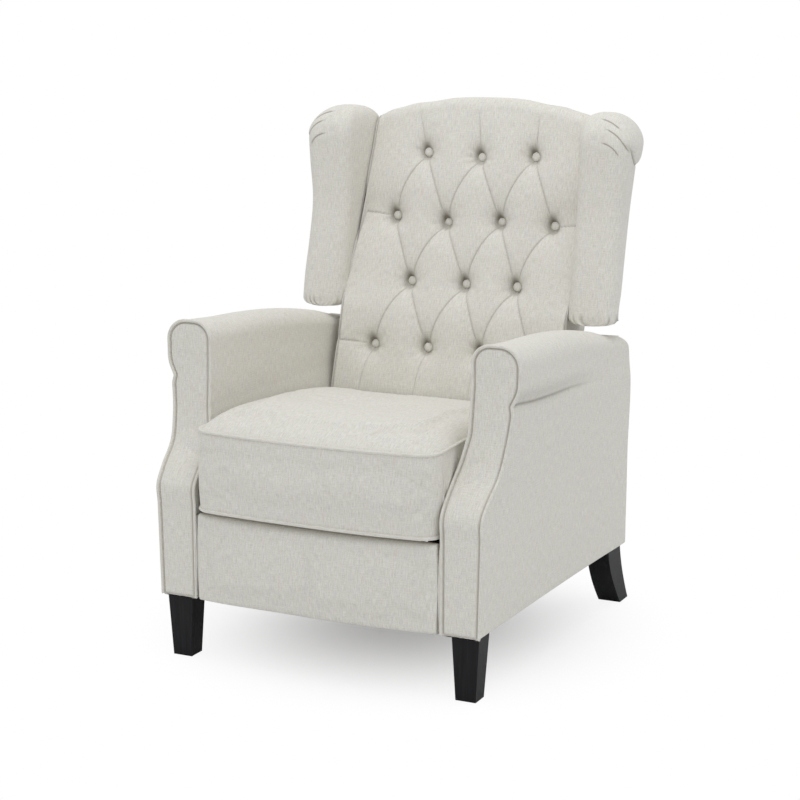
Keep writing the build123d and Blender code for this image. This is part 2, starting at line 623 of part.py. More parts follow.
bracket_arm = slot_between((HINGE_Y, HINGE_Z), (250, 345), 24) + slot_between((250, 345), (284, 498), 24)
bracket_arm -= hole((HINGE_Y, HINGE_Z), SHANK_R)
screw_places = [(259, 385), (271, 440), (282, 490)]
for at in screw_places:
    bracket_arm -= hole(at, SCREW_R)
back_bracket = side_plate(bracket_arm, BRACKET_X)
bracket_screws = [
    flat_bar(*at, SCREW_R, POST_X[0] + 3, BRACKET_X[1])
    + flat_bar(*at, SCREW_HEAD_R, BRACKET_X[1], BRACKET_X[1] + 2, 6)
    for at in screw_places
]
WING_BOLT_R, WING_BOLT_T = 4.0, 28.0
wing_bolts = []
for z in (785, 900):
    y = before_rear(z, WING_BOLT_T)[0]
    stem = flat_bar(y, z, WING_BOLT_R, POST_X[0], 290)
    wing_bolts.append(stem + flat_bar(y, z, 2 * WING_BOLT_R, POST_X[0] - 4, POST_X[0], 6))
post = post - bracket_screws - wing_bolts
save("back_fasteners", both(*bracket_screws, *wing_bolts))
hinge_pin = (
    across(HINGE_Y, HINGE_Z, SHANK_R, BRACKET_X[0], RAIL_X[1] + FREE)
    + flat_bar(HINGE_Y, HINGE_Z, HEAD_R, BRACKET_X[0] - HEAD_T, BRACKET_X[0])
    + flat_bar(HINGE_Y, HINGE_Z, HEAD_R, BRACKET_X[1], RAIL_X[0] - FREE)
    + flat_bar(HINGE_Y, HINGE_Z, HEAD_R, RAIL_X[1] + FREE, RAIL_X[1] + FREE + HEAD_T)
)
save_pair("back_bracket", back_bracket)
save("hinge_pins", both(hinge_pin))
save_pair("back_post", post)
for name, rail in rails.items():
    save(name, rail)
save("back_webbing", webs)

# the parts of the hinge bracket that reach past the frame are let into pad and panel
let_in = [back_bracket, *bracket_screws, *wing_bolts]
let_in += [piece.mirror(Plane.YZ) for piece in let_in]
save("back_panel", shell - let_in)

# tufting: a dimple at each button and a shallow fold along each seam
anchors = []
for z, t, count in BUTTON_ROWS:
    s = (z - BACK_FOOT_Z - t * sin(BETA)) / cos(BETA)
    anchors.append([((index - (count - 1) / 2) * BUTTON_STEP, s, t) for index in range(count)])


def tapered(at, depth, r0, r1, height):
    """A twelve-sided frustum that stands on the pad's seat for a button."""
    seat = BACK_PLANE * Pos(at[0], at[1], at[2] + depth)
    return loft([seat * RegularPolygon(r0, 12), seat * Pos(0, 0, height) * RegularPolygon(r1, 12)])


def fold(a, b):
    """A V channel whose root runs straight from one anchor to the next."""
    p = Vector((BACK_PLANE * Pos(*a)).position)
    q = Vector((BACK_PLANE * Pos(*b)).position)
    along_seam = (q - p).normalized()
    outward = BACK_PLANE.z_dir - along_seam * BACK_PLANE.z_dir.dot(along_seam)
    plane = Plane(origin=p, x_dir=outward.cross(along_seam), z_dir=along_seam)
    half = FOLD_REACH * tan(radians(FOLD_HALF_ANGLE))
    side = 1 if plane.y_dir.dot(outward) > 0 else -1
    low, high = side * FOLD_ROOT, side * FOLD_REACH
    wedge = make_face(Polyline((0, low), (half, high), (-half, high), close=True))
    return extrude(plane * wedge, (q - p).length)


spots = [anchor for row in anchors for anchor in row]
dimples = [tapered(at, -2, BUTTON_R + 1, BUTTON_R + DIMPLE_FLARE, DIMPLE_REACH) for at in spots]
buttons = [tapered(at, -2, BUTTON_R, BUTTON_R * 0.55, BUTTON_T) for at in spots]
folds = [
    fold(a, b)
    for upper, lower in zip(anchors, anchors[1:])
    for a in upper
    for b in lower
    if abs(a[0] - b[0]) < BUTTON_STEP * 0.75
]
# the specks that crossing folds leave loose at the buttons are dropped
tufted = (back_pad - dimples - folds - let_in).solids().sort_by(SortBy.VOLUME)
save("back_pad", tufted[-1])
save("back_buttons", Compound(children=buttons))

# ================= wings =================
def wing_section(z, front, rear, out_front, out_rear):
    """Level slice of a wing: a slab with a full, rounded nose."""
    nose = min(34.0, (rear - front) * 0.3)
    in_front = WING_IN_X + 9
    edges = [
        Line((WING_IN_X, rear), (out_rear, rear)),
        Line((out_rear, rear), (out_front, front + nose)),
        ThreePointArc(
            (out_front, front + nose), ((out_front + in_front) / 2, front), (in_front, front + nose)
        ),
        Line((in_front, front + nose), (WING_IN_X, front + nose + 45)),
        Line((WING_IN_X, front + nose + 45), (WING_IN_X, rear)),
    ]
    return Plane.XY.offset(z) * make_face(Wire(edges))


wing = loft([wing_section(*station) for station in WING_STATIONS])
save_pair("wing", wing - wing_bolts)
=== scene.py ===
import math
import bmesh
import bpy
import numpy as np
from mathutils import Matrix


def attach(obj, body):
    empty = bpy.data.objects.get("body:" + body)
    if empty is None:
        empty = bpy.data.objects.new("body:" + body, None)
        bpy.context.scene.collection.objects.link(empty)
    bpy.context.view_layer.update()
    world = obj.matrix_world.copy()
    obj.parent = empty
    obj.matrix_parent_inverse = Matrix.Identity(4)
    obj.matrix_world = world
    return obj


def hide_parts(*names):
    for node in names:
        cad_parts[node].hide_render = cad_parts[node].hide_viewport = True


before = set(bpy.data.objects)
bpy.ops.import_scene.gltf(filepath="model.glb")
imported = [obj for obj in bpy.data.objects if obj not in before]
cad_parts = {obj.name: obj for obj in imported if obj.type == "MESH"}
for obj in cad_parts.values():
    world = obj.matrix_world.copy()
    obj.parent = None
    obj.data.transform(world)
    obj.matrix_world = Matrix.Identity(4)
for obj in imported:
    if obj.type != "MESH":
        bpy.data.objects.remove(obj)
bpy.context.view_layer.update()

# ------------------ studio
# A pale floor under an even white sky, one broad soft lamp overhead, a weak
# one behind, and a camera at eye height off the chair's front right corner.
# The camera's place was solved from points on the chair in an 800 x 800 frame.
EYE = (1.6551, -3.4747, 1.2508)
AZIMUTH, ELEVATION = math.radians(25.69), math.radians(11.75)
LENS, SENSOR = 91.09, 36.0
CHAIR_MIDDLE = (0.0, 0.0, 0.5)
WHITE, SKY_TINT, PAPER_WHITE = (1, 1, 1, 1), (0.97, 0.98, 1.0, 1), (0.90, 0.90, 0.90, 1)
SKY_STRENGTH = 0.73
FLOOR_HALF = 9.0
# what the camera sees of the floor is part plain white under the chair, to
# soften the shadow, and turns all white by 0.56 m from its middle
SHADE_NEAR, SHADE_FAR, SHADE_WHITE = 0.02, 0.56, 0.30


def in_scene(name, data):
    """A new object that shows the data, linked to the scene."""
    new = bpy.data.objects.new(name, data)
    bpy.context.scene.collection.objects.link(new)
    return new


def area_lamp(name, place, aim, size, watts):
    """A square soft lamp at place that faces aim."""
    lamp = in_scene(name, bpy.data.lights.new(name, "AREA"))
    lamp.data.size = size
    lamp.data.energy = watts
    lamp.location = place
    toward = np.array(aim) - np.array(place)
    flat = math.hypot(toward[0], toward[1])
    heading = math.atan2(toward[1], toward[0])
    lamp.rotation_euler = (math.atan2(flat, -toward[2]), 0.0, heading - math.pi / 2)


def add_node(tree, kind, sockets=None, **settings):
    """A shader node with its settings; sockets gives inputs an output to link to, or a constant."""
    node = tree.nodes.new("ShaderNode" + kind)
    for setting, value in settings.items():
        setattr(node, setting, value)
    for key, value in (sockets or {}).items():
        if isinstance(value, bpy.types.NodeSocket):
            tree.links.new(value, node.inputs[key])
        else:
            node.inputs[key].default_value = value
    return node


def new_material(name, roughness, metallic=0.0):
    """A principled material, with its tree and shader."""
    material = bpy.data.materials.new(name)
    material.use_nodes = True
    tree = material.node_tree
    shader = tree.nodes["Principled BSDF"]
    shader.inputs["Roughness"].default_value = roughness
    shader.inputs["Metallic"].default_value = metallic
    return material, tree, shader


camera = in_scene("camera", bpy.data.cameras.new("camera"))
camera.data.lens = LENS
camera.data.sensor_width = SENSOR
camera.location = EYE
camera.rotation_euler = (math.pi / 2 - ELEVATION, 0.0, AZIMUTH)
bpy.context.scene.camera = camera
bpy.context.scene.view_settings.view_transform = "Standard"
area_lamp("overhead", (0.3, -0.6, 3.5), CHAIR_MIDDLE, 2.5, 31.5)
area_lamp("rim", (0.6, 3.2, 2.6), CHAIR_MIDDLE, 2.6, 2.6)

world = bpy.data.worlds.new("studio")
world.use_nodes = True
bpy.context.scene.world = world
sky = world.node_tree
lit_sky = sky.nodes["Background"]
lit_sky.inputs["Color"].default_value = SKY_TINT
lit_sky.inputs["Strength"].default_value = SKY_STRENGTH
white_sky = add_node(sky, "Background", {"Color": WHITE, "Strength": 1.0})
ray = add_node(sky, "LightPath").outputs
seen = add_node(sky, "Math", {0: ray["Is Camera Ray"], 1: ray["Is Glossy Ray"]}, operation="MAXIMUM")
choose = add_node(sky, "MixShader", {0: seen.outputs[0], 1: lit_sky.outputs[0], 2: white_sky.outputs[0]})
sky.links.new(choose.outputs[0], sky.nodes["World Output"].inputs["Surface"])

floor_mesh = bpy.data.meshes.new("floor")
floor_corners = [(x * FLOOR_HALF, y * FLOOR_HALF, 0) for x, y in ((-1, -1), (1, -1), (1, 1), (-1, 1))]
floor_mesh.from_pydata(floor_corners, [], [(0, 1, 2, 3)])
floor = in_scene("floor", floor_mesh)
paper, paper_tree, paper_shader = new_material("floor_paper", 0.9)
paper_shader.inputs["Base Color"].default_value = PAPER_WHITE
paper_shader.inputs["Specular IOR Level"].default_value = 0.1
where = add_node(paper_tree, "TexCoord").outputs["Object"]
distance = add_node(paper_tree, "VectorMath", {0: where}, operation="LENGTH").outputs["Value"]
limits = {"Value": distance, "From Min": SHADE_NEAR, "From Max": SHADE_FAR, "To Min": SHADE_WHITE}
fade = add_node(paper_tree, "MapRange", limits, interpolation_type="SMOOTHSTEP").outputs["Result"]
camera_ray = add_node(paper_tree, "LightPath").outputs["Is Camera Ray"]
white_share = add_node(paper_tree, "Math", {0: camera_ray, 1: fade}, operation="MULTIPLY").outputs[0]
plain_white = add_node(paper_tree, "Emission", {"Strength": 1.0}).outputs[0]
lit_or_white = add_node(paper_tree, "MixShader", {0: white_share, 1: paper_shader.outputs[0], 2: plain_white})
paper_tree.links.new(lit_or_white.outputs[0], paper_tree.nodes["Material Output"].inputs["Surface"])
floor_mesh.materials.append(paper)

# ------------------ legs
# Four hardwood legs, square and tapered in front, splayed sabre legs behind,
# stained near black under a satin lacquer and bolted up into the base. A
# nylon glide is nailed under each.
# a material's shades are (place in its noise, colour) stops, from dark to light
STAIN = [(0.35, (0.0028, 0.0030, 0.0040, 1)), (0.7, (0.0095, 0.0095, 0.0110, 1))]
NYLON = [(0.3, (0.10, 0.095, 0.09, 1)), (0.7, (0.14, 0.13, 0.12, 1))]


def noise(tree, coordinates, scale, detail=3.0, stretch=(1, 1, 1), rough=0.5):
    """Noise on the given coordinates, stretched per axis."""
    mapping = add_node(tree, "Mapping", {"Vector": coordinates, "Scale": stretch})
    sockets = {"Vector": mapping.outputs[0], "Scale": scale, "Detail": detail, "Roughness": rough}
    return add_node(tree, "TexNoise", sockets).outputs["Fac"]


def ramp(tree, value, stops):
    """A colour ramp from (place, colour) stops."""
    node = add_node(tree, "ValToRGB", {0: value})
    elements = node.color_ramp.elements
    while len(elements) < len(stops):
        elements.new(0.5)
    for element, (place, colour) in zip(elements, stops):
        element.position = place
        element.color = colour
    return node.outputs["Color"]


def bump(tree, shader, height, depth, strength, under=None):
    """A bump of the given depth in metres, on top of an earlier one."""
    sockets = {"Height": height, "Distance": depth, "Strength": strength}
    if under is not None:
        sockets["Normal"] = under
    node = add_node(tree, "Bump", sockets)
    tree.links.new(node.outputs[0], shader.inputs["Normal"])
    return node.outputs[0]


def object_place(tree):
    return add_node(tree, "TexCoord").outputs["Object"]


def grained(name, roughness, metallic, texture, stops, depth, strength=0.5):
    """A material whose colour and small bumps follow one noise (scale, detail, stretch), and its shader."""
    material, tree, shader = new_material(name, roughness, metallic)
    grain = noise(tree, object_place(tree), *texture)
    tree.links.new(ramp(tree, grain, stops), shader.inputs["Base Color"])
    if depth:
        bump(tree, shader, grain, depth, strength)
    return material, shader


def wear(names, material):
    """Gives the named CAD nodes, which keep their shapes, their material."""
    for name in names.split():
        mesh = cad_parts[name].data
        mesh.materials.clear()
        mesh.materials.append(material)


leg_wood, lacquer = grained("stained_wood", 0.46, 0.0, (1.0, 4.0, (260, 260, 9)), STAIN, 0.0002)
lacquer.inputs["Specular IOR Level"].default_value = 0.2
lacquer.inputs["Coat Weight"].default_value = 0.03
lacquer.inputs["Coat Roughness"].default_value = 0.3
wear("leg_front_right leg_front_left leg_rear_right leg_rear_left", leg_wood)
nylon, _ = grained("nylon", 0.45, 0.0, (300, 3.0), NYLON, 0)
wear("leg_glides", nylon)

# ------------------ linen
# One cloth covers the whole chair: a pale greige plain weave of slubby yarns,
# some of them a little pink, lilac or straw, so it is mottled from near by.
LINEN_DARK, LINEN_LIGHT = (0.625, 0.602, 0.550, 1), (0.835, 0.815, 0.760, 1)
PLAIN, PINK = (1, 1, 1, 1), (1.0, 0.945, 0.935, 1)
LILAC, STRAW = (0.955, 0.965, 1.0, 1), (0.985, 1.0, 0.955, 1)
# painted shade, mixed into the linen's colour by the points' crease value
FOLD_SHADE = (0.30, 0.28, 0.25, 1)
YARN = 0.0011
SLUB_WIDTH, SLUB_LENGTH = 0.0017, 0.016
WARP_SHARE, WEFT_SHARE, YARN_SHARE = 0.48, 0.26, 0.26
TINT_SHARE = 0.75
SLUB_DEPTH, WEAVE_DEPTH = 0.0006, 0.00025


def tinted(tree, first, second, amount):
    """Two colours multiplied."""
    sockets = {"Factor": amount, "A": first, "B": second}
    return add_node(tree, "Mix", sockets, data_type="RGBA", blend_type="MULTIPLY").outputs["Result"]


def combined(tree, kind, first, second):
    """A sum or product of two values, each an output or a number."""
    return add_node(tree, "Math", {0: first, 1: second}, operation=kind).outputs[0]


def linen():
    """Weave on the piece's own UV map, in metres: u along the weft, v along the warp.

    Warp slubs are long thin noise along v, weft slubs along u, and both set
    the shade. A coarser noise picks the yarns' tints, and the two square waves
    of the plain weave are a fine bump. The points' crease value, from 0 to 1,
    is painted shade: it darkens the cloth towards FOLD_SHADE where it is folded
    under or sewn down, along the tuck and round the buttons.
    """
    material, tree, shader = new_material("linen", 0.92)
    cloth = add_node(tree, "UVMap").outputs["UV"]
    warp = noise(tree, cloth, 1.0, 2.0, (1 / SLUB_WIDTH, 1 / SLUB_LENGTH, 1), 0.6)
    weft = noise(tree, cloth, 1.0, 2.0, (1 / SLUB_LENGTH, 1 / SLUB_WIDTH, 1), 0.6)
    yarns = noise(tree, cloth, 1.0, 1.0, (0.6 / YARN, 0.6 / YARN, 1), 0.5)
    shares = ((warp, WARP_SHARE), (weft, WEFT_SHARE), (yarns, YARN_SHARE))
    warp, weft, yarns = (combined(tree, "MULTIPLY", texture, share) for texture, share in shares)
    weave = combined(tree, "ADD", combined(tree, "ADD", warp, weft), yarns)
    shade = ramp(tree, weave, [(0.36, LINEN_DARK), (0.64, LINEN_LIGHT)])
    patch = noise(tree, cloth, 1.0, 3.0, (75, 24, 1), 0.6)
    tint = ramp(tree, patch, [(0.30, LILAC), (0.42, PLAIN), (0.50, STRAW), (0.58, PLAIN), (0.70, PINK)])
    colour = tinted(tree, shade, tint, TINT_SHARE)
    # the crease attribute is painted shade for folds, seams, the tuck and the buttons' pits
    crease_shade = add_node(tree, "Attribute", attribute_name="crease_shade").outputs["Fac"]
    painted_fold_shade = ramp(tree, crease_shade, [(0.0, PLAIN), (1.0, FOLD_SHADE)])
    tree.links.new(tinted(tree, colour, painted_fold_shade, 1.0), shader.inputs["Base Color"])
    shader.inputs["Sheen Weight"].default_value = 0.1
    shader.inputs["Sheen Roughness"].default_value = 0.5
    shader.inputs["Specular IOR Level"].default_value = 0.2
    slubs = bump(tree, shader, weave, SLUB_DEPTH, 0.35)
    wave = {"Vector": cloth, "Scale": 0.5 / (YARN * 2 * math.pi), "Distortion": 0.6, "Detail Scale": 0.3}
    over, under = (add_node(tree, "TexWave", wave, bands_direction=axis).outputs["Fac"] for axis in "XY")
    bump(tree, shader, combined(tree, "MULTIPLY", over, under), WEAVE_DEPTH, 0.35, slubs)
    return material


linen_cloth = linen()

# ------------------ arms
# Rolled arms: the outside, the roll and the inside are one linen skin drawn
# over the frame, with a tuck under the roll that fades towards the back. Each
# is lofted from rounded level-to-roof sections and closed at the rear.
MM = 0.001
SIDES = ((1, "right"), (-1, "left"))
ARM_PLACES = np.arange(7) / 6
ROLL_CX = [310.6, 309.5, 308, 306.5, 305, 303, 301.5]
ROLL_R = [45, 44.5, 44, 43, 41.5, 40, 40]
ROLL_TOP = [628, 622.5, 618, 611, 599.5, 582, 555]
ROLL_ROUND = [44, 44, 44, 43, 41, 36, 22]
WALL_HEM = [322, 324, 326, 328.5, 331.5, 336, 341]
WALL_KNEE = [327, 329, 331, 333.5, 336.5, 340, 342]
WALL_NECK = [344.5, 344, 343.5, 343.5, 343.5, 343, 341.5]
TUCK_Z = [524, 515, 509, 505, 496, 484, 470]
TUCK_DEPTH = [3.0, 4.5, 5.0, 3.5, 1.6, 0.3, 0.0]
TUCK_SHADE = [0.6, 0.6, 0.5, 0.3, 0.0, 0.0, 0.0]
ARM_FRONT_Z = [300, 340, 366, 400, 450, 520, 700]
ARM_FRONT_Y = [-387, -386.5, -366, -330, -308, -297, -297]
ARM_REAR_Z = [100, 123, 320, 505, 540, 568, 640]
ARM_REAR_YS = [317, 317, 318, 318, 306, 272, 240]
HEM = 123.0
ARM_IN = 250.0
KNEE_Z, INSIDE_Z, INSIDE_LOW = 350.0, 470.0, 395.0
ARM_FRONT_RINGS = [(3.0, -1.5), (6.0, -7.0), (1.0, -8.0)]
ARM_REAR_RINGS = [(2.0, 3.5), (5.0, 6.0), (9.0, 7.0), (0.4, 8.0), (0.7, 8.5), (1.0, 8.5)]


def add_piece(name, points, faces, uvs, body):
    """A smooth linen mesh from points, faces and one uv per face corner, riding on a body."""
    mesh = bpy.data.meshes.new(name)
    mesh.from_pydata(points.reshape(-1, 3).tolist(), [], faces.tolist())
    layer = mesh.uv_layers.new(name="UVMap")
    layer.data.foreach_set("uv", uvs.astype(np.float32).ravel())
    mesh.polygons.foreach_set("use_smooth", np.full(len(faces), True))
    mesh.materials.append(linen_cloth)
    mesh.update()
    piece = in_scene(name, mesh)
    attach(piece, body)
    return piece


def quads_of(rows, columns, wrap=False):
    """Corner numbers of a grid's quads, row by row; wrap joins the last column to the first."""
    r, c = np.meshgrid(np.arange(rows - 1), np.arange(columns if wrap else columns - 1), indexing="ij")
    right = (c + 1) % columns
    above, below = r * columns, (r + 1) * columns
    return np.stack([above + c, above + right, below + right, below + c], axis=-1).reshape(-1, 4)


def run_lengths(points, axis):
    """Distance along a grid's axis from its first line."""
    steps = np.linalg.norm(np.diff(points, axis=axis), axis=-1)
    zero = np.zeros_like(np.take(steps, [0], axis=axis))
    return np.concatenate([zero, np.cumsum(steps, axis=axis)], axis=axis)


def curve(x, knots, values):
    """Smooth curve through (knot, value) pairs, level at both ends (cubic Hermite)."""
    knots, values = np.asarray(knots, float), np.asarray(values, float)
    slopes = np.gradient(values, knots)
    slopes[[0, -1]] = 0.0
    at = np.clip(np.searchsorted(knots, x) - 1, 0, len(knots) - 2)
    span = knots[at + 1] - knots[at]
    s = np.clip((x - knots[at]) / span, 0.0, 1.0)
    return (
        (1 + 2 * s) * (1 - s) ** 2 * values[at] + s * (1 - s) ** 2 * span * slopes[at]
        + s * s * (3 - 2 * s) * values[at + 1] + s * s * (s - 1) * span * slopes[at + 1]
    )


def rounded_loops(along, points, radii, arcs, edges, first):
    """Closed loops with rounded corners, one per station along the piece.

    points are the corners and radii their radii, each a number or an array
    over the stations. Every corner becomes a circular arc that touches both its
    edges, written as a rational quadratic, and the straight run to the next arc
    is divided evenly. arcs and edges are the counts, first the point that
    becomes loop point 0. Gives along and both coordinates, as three grids.
    """
    still = np.zeros(len(along))
    corners = np.stack([np.stack([a + still, b + still], -1) for a, b in points], 1)
    radii = np.stack([radius + still for radius in radii], -1)
    back, ahead = np.roll(corners, 1, axis=1) - corners, np.roll(corners, -1, axis=1) - corners
    back_run, ahead_run = np.linalg.norm(back, axis=-1), np.linalg.norm(ahead, axis=-1)
    back, ahead = back / back_run[..., None], ahead / ahead_run[..., None]
    half = np.arccos(np.clip((back * ahead).sum(-1), -1, 1)) / 2
    cut = np.minimum(radii / np.tan(half), 0.49 * np.minimum(back_run, ahead_run))
    start, end = corners + back * cut[..., None], corners + ahead * cut[..., None]
    weight = np.sin(half)
    parts = []
    for k, (arc, edge) in enumerate(zip(arcs, edges)):
        s = np.linspace(0, 1, arc)[None, :, None]
        far, near, pull = (1 - s) ** 2, s * s, 2 * weight[:, k, None, None] * s * (1 - s)
        bent = far * start[:, k, None] + pull * corners[:, k, None] + near * end[:, k, None]
        parts.append(bent / (far + pull + near))
        s = np.linspace(0, 1, edge + 2)[None, 1:-1, None]
        parts.append(end[:, k, None] * (1 - s) + start[:, (k + 1) % len(arcs), None] * s)
    loops = np.roll(np.concatenate(parts, axis=1), -first, axis=1)
    return np.broadcast_to(along[:, None], loops.shape[:2]), loops[..., 0], loops[..., 1]


def close_ends(loops, axis, first, last, crease_shade=None):
    """Rounds off and closes both ends of a lofted tube; takes mm and gives metres.

    Each loop point is paired with the one opposite it, counted from loop point
    0, and added rings draw every pair together on the line midway. first and
    last list each ring's pull in and its way out along the axis, in mm, where
    a pull of up to 1 is a share of the whole. The crease values, which are
    painted shade, go on unchanged and repeat on the added rings.
    """
    ends = []
    for loop, steps, way in ((loops[0], first, -1), (loops[-1], last, 1)):
        middle = 0.5 * (loop + np.roll(loop[::-1], 1, axis=0))
        reach = np.maximum(np.linalg.norm(loop - middle, axis=-1, keepdims=True), 0.001)
        rings = []
        for pull, step in steps:
            share = pull if pull <= 1 else np.minimum(pull / reach, 1.0)
            rings.append(loop + (middle - loop) * share + way * step * np.eye(3)[axis])
        ends.append(rings)
    if crease_shade is not None:
        crease_shade = np.pad(crease_shade, ((len(first), len(last)), (0, 0)), mode="edge")
    return np.stack([*ends[0][::-1], *loops, *ends[1]]) * MM, crease_shade


def weld(piece):
    """Joins points that lie on each other and drops the faces with no area."""
    work = bmesh.new()
    work.from_mesh(piece.data)
    bmesh.ops.remove_doubles(work, verts=work.verts, dist=1e-6)
    bmesh.ops.dissolve_degenerate(work, edges=work.edges, dist=1e-7)
    work.to_mesh(piece.data)
    work.free()


def lofted(name, skin, body, replaced=(), axis=None, flip=False):
    """A closed cloth piece from its skin: loops (stations, points, 3) and their crease values of painted
    shade.

    The cloth lies straight along the axis: one coordinate of its UV map is the
    place along it, the other the mean run round the loops. Faces that look
    along the axis take the other two coordinates. Without an axis, both are runs.
    """
    loops, crease_shade = skin
    stations, count = loops.shape[:2]
    faces = quads_of(stations, count, wrap=True)
    corners = quads_of(stations, count + 1)
    closed = np.concatenate([loops, loops[:, :1]], axis=1)
    around = run_lengths(closed, 1)
    if axis is None:
        pair = [around, run_lengths(closed, 0)]
    else:
        steady = np.broadcast_to(np.median(around, axis=0), around.shape)
        pair = [closed[..., axis], steady] if axis < 2 else [steady, closed[..., axis]]
    uvs = np.stack(pair, -1).reshape(-1, 2)[corners]
    if axis is not None:
        flat = loops.reshape(-1, 3)[faces]
        normal = np.cross(flat[:, 2] - flat[:, 0], flat[:, 3] - flat[:, 1])
        ends = np.abs(normal[:, axis]) > 0.6 * np.linalg.norm(normal, axis=-1)
        uvs[ends] = np.delete(flat[ends], axis, axis=-1)
    if flip:
        faces, uvs = faces[:, ::-1], uvs[:, ::-1]
    piece = add_piece(name, loops, faces, uvs, body)
    # the crease values, painted shade, go on the points as a float attribute
    if crease_shade is not None:
        values = piece.data.attributes.new("crease_shade", "FLOAT", "POINT")
        values.data.foreach_set("value", crease_shade.astype(np.float32).ravel())
    weld(piece)
    for node in replaced:
        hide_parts(node)
    return piece


def rising(value, start, end):
    """Straight from 0 at start to 1 at end, and level beyond them."""
    return np.clip((value - start) / (end - start), 0, 1)


def bell(distance, width):
    """1 at no distance, falling off both ways as a bell curve."""
    return np.exp(-(distance / width) ** 2)


def waver(points, wave, height, seed):
    """A smooth unevenness: eight sine waves of about one wavelength, in random directions."""
    draw = np.random.default_rng(seed)
    total = np.zeros(points.shape[:-1])
    for _ in range(8):
        direction = draw.normal(size=3)
        direction *= 2 * math.pi / (wave * draw.uniform(0.7, 1.5) * np.linalg.norm(direction))
        total += np.sin(points @ direction + draw.uniform(0, 6.28))
    return total * height / 8 ** 0.5


def arm_loops(t):
    """Section loops of the right arm, as t, x and z, counted from the middle of the hem.

    t runs from 0 in front to 1 behind. The corners go from the outer hem up the
    wall, through the tuck, over the roll and down the inside.
    """
    tables = (ROLL_CX, ROLL_R, ROLL_TOP, WALL_HEM, WALL_KNEE, WALL_NECK, TUCK_Z, TUCK_DEPTH, ROLL_ROUND)
    cx, r, top, hem, knee, neck, tuck, depth, bend = (curve(t, ARM_PLACES, table) for table in tables)
    points = [
        (hem, HEM), (knee, KNEE_Z), (neck, tuck - 15), (neck - depth, tuck), (cx + r - 1.0, tuck + 26),
        (cx + r, top), (cx - r, top),
        (cx - r + 1.0, top - 70), (cx - r - 1.0, INSIDE_Z), (ARM_IN, INSIDE_LOW), (ARM_IN, HEM),
    ]
    radii = [5.0, 260.0, 30.0, 5.0, 60.0, bend, bend, 40.0, 60.0, 60.0, 5.0]
    arcs = [6, 8, 6, 7, 12, 22, 22, 8, 6, 6, 6]
    edges = [26, 24, 2, 3, 3, 2, 4, 2, 2, 54, 12]
    return rounded_loops(t, points, radii, arcs, edges, -6)


def arm_front(z):
    return curve(z, ARM_FRONT_Z, ARM_FRONT_Y)


def arm_skin(side):
    """The skin's loops, with painted shade as a crease value along the tuck and, fainter, on the roll's
    underside above it.
    """
    t = np.concatenate([np.linspace(0, 0.03, 7)[:-1], np.linspace(0.03, 1.0, 110)])
    _, x, z = arm_loops(t)
    front, rear = arm_front(z), curve(z, ARM_REAR_Z, ARM_REAR_YS)
    points = np.stack([x, front + (rear - front) * t[:, None], z], -1)
    points[..., 0] += rising(x, 290, 330) * rising(z, 135, 195) * waver(points, 230.0, 0.7, 4 + side)
    # painted shade: a thin dark line along the tuck and a broad fainter band on the roll's underside, fading
    # towards the back
    over = z - curve(t, ARM_PLACES, TUCK_Z)[:, None] - 1.0
    shade = (bell(over, 3.0) + 0.32 * bell(over - 13, 13.0)) * curve(t, ARM_PLACES, TUCK_SHADE)[:, None]
    return close_ends(points * (side, 1, 1), 1, ARM_FRONT_RINGS, ARM_REAR_RINGS, shade * (x > 320))


for side, word in SIDES:
    lofted("arm_skin_" + word, arm_skin(side), "base", ["arm_" + word], axis=1, flip=side > 0)

# ------------------ facings
# The S-shaped panel on the front of each arm is a separate padded piece of
# linen, sewn in with a welt cord that runs up one edge, round the roll and
# down the other. Beside the cord the stitching holds it down in a furrow.
CORD_R, CORD_SIDES = 2.9, 14
FURROW_AT, FURROW_WIDTH, FURROW_DEPTH, FURROW_SHADE = 4.2, 1.5, 3.2, 0.40
FACING_PUFF, FACING_SOFT = 3.6, 7.0
FACING_ROLL = 540.0


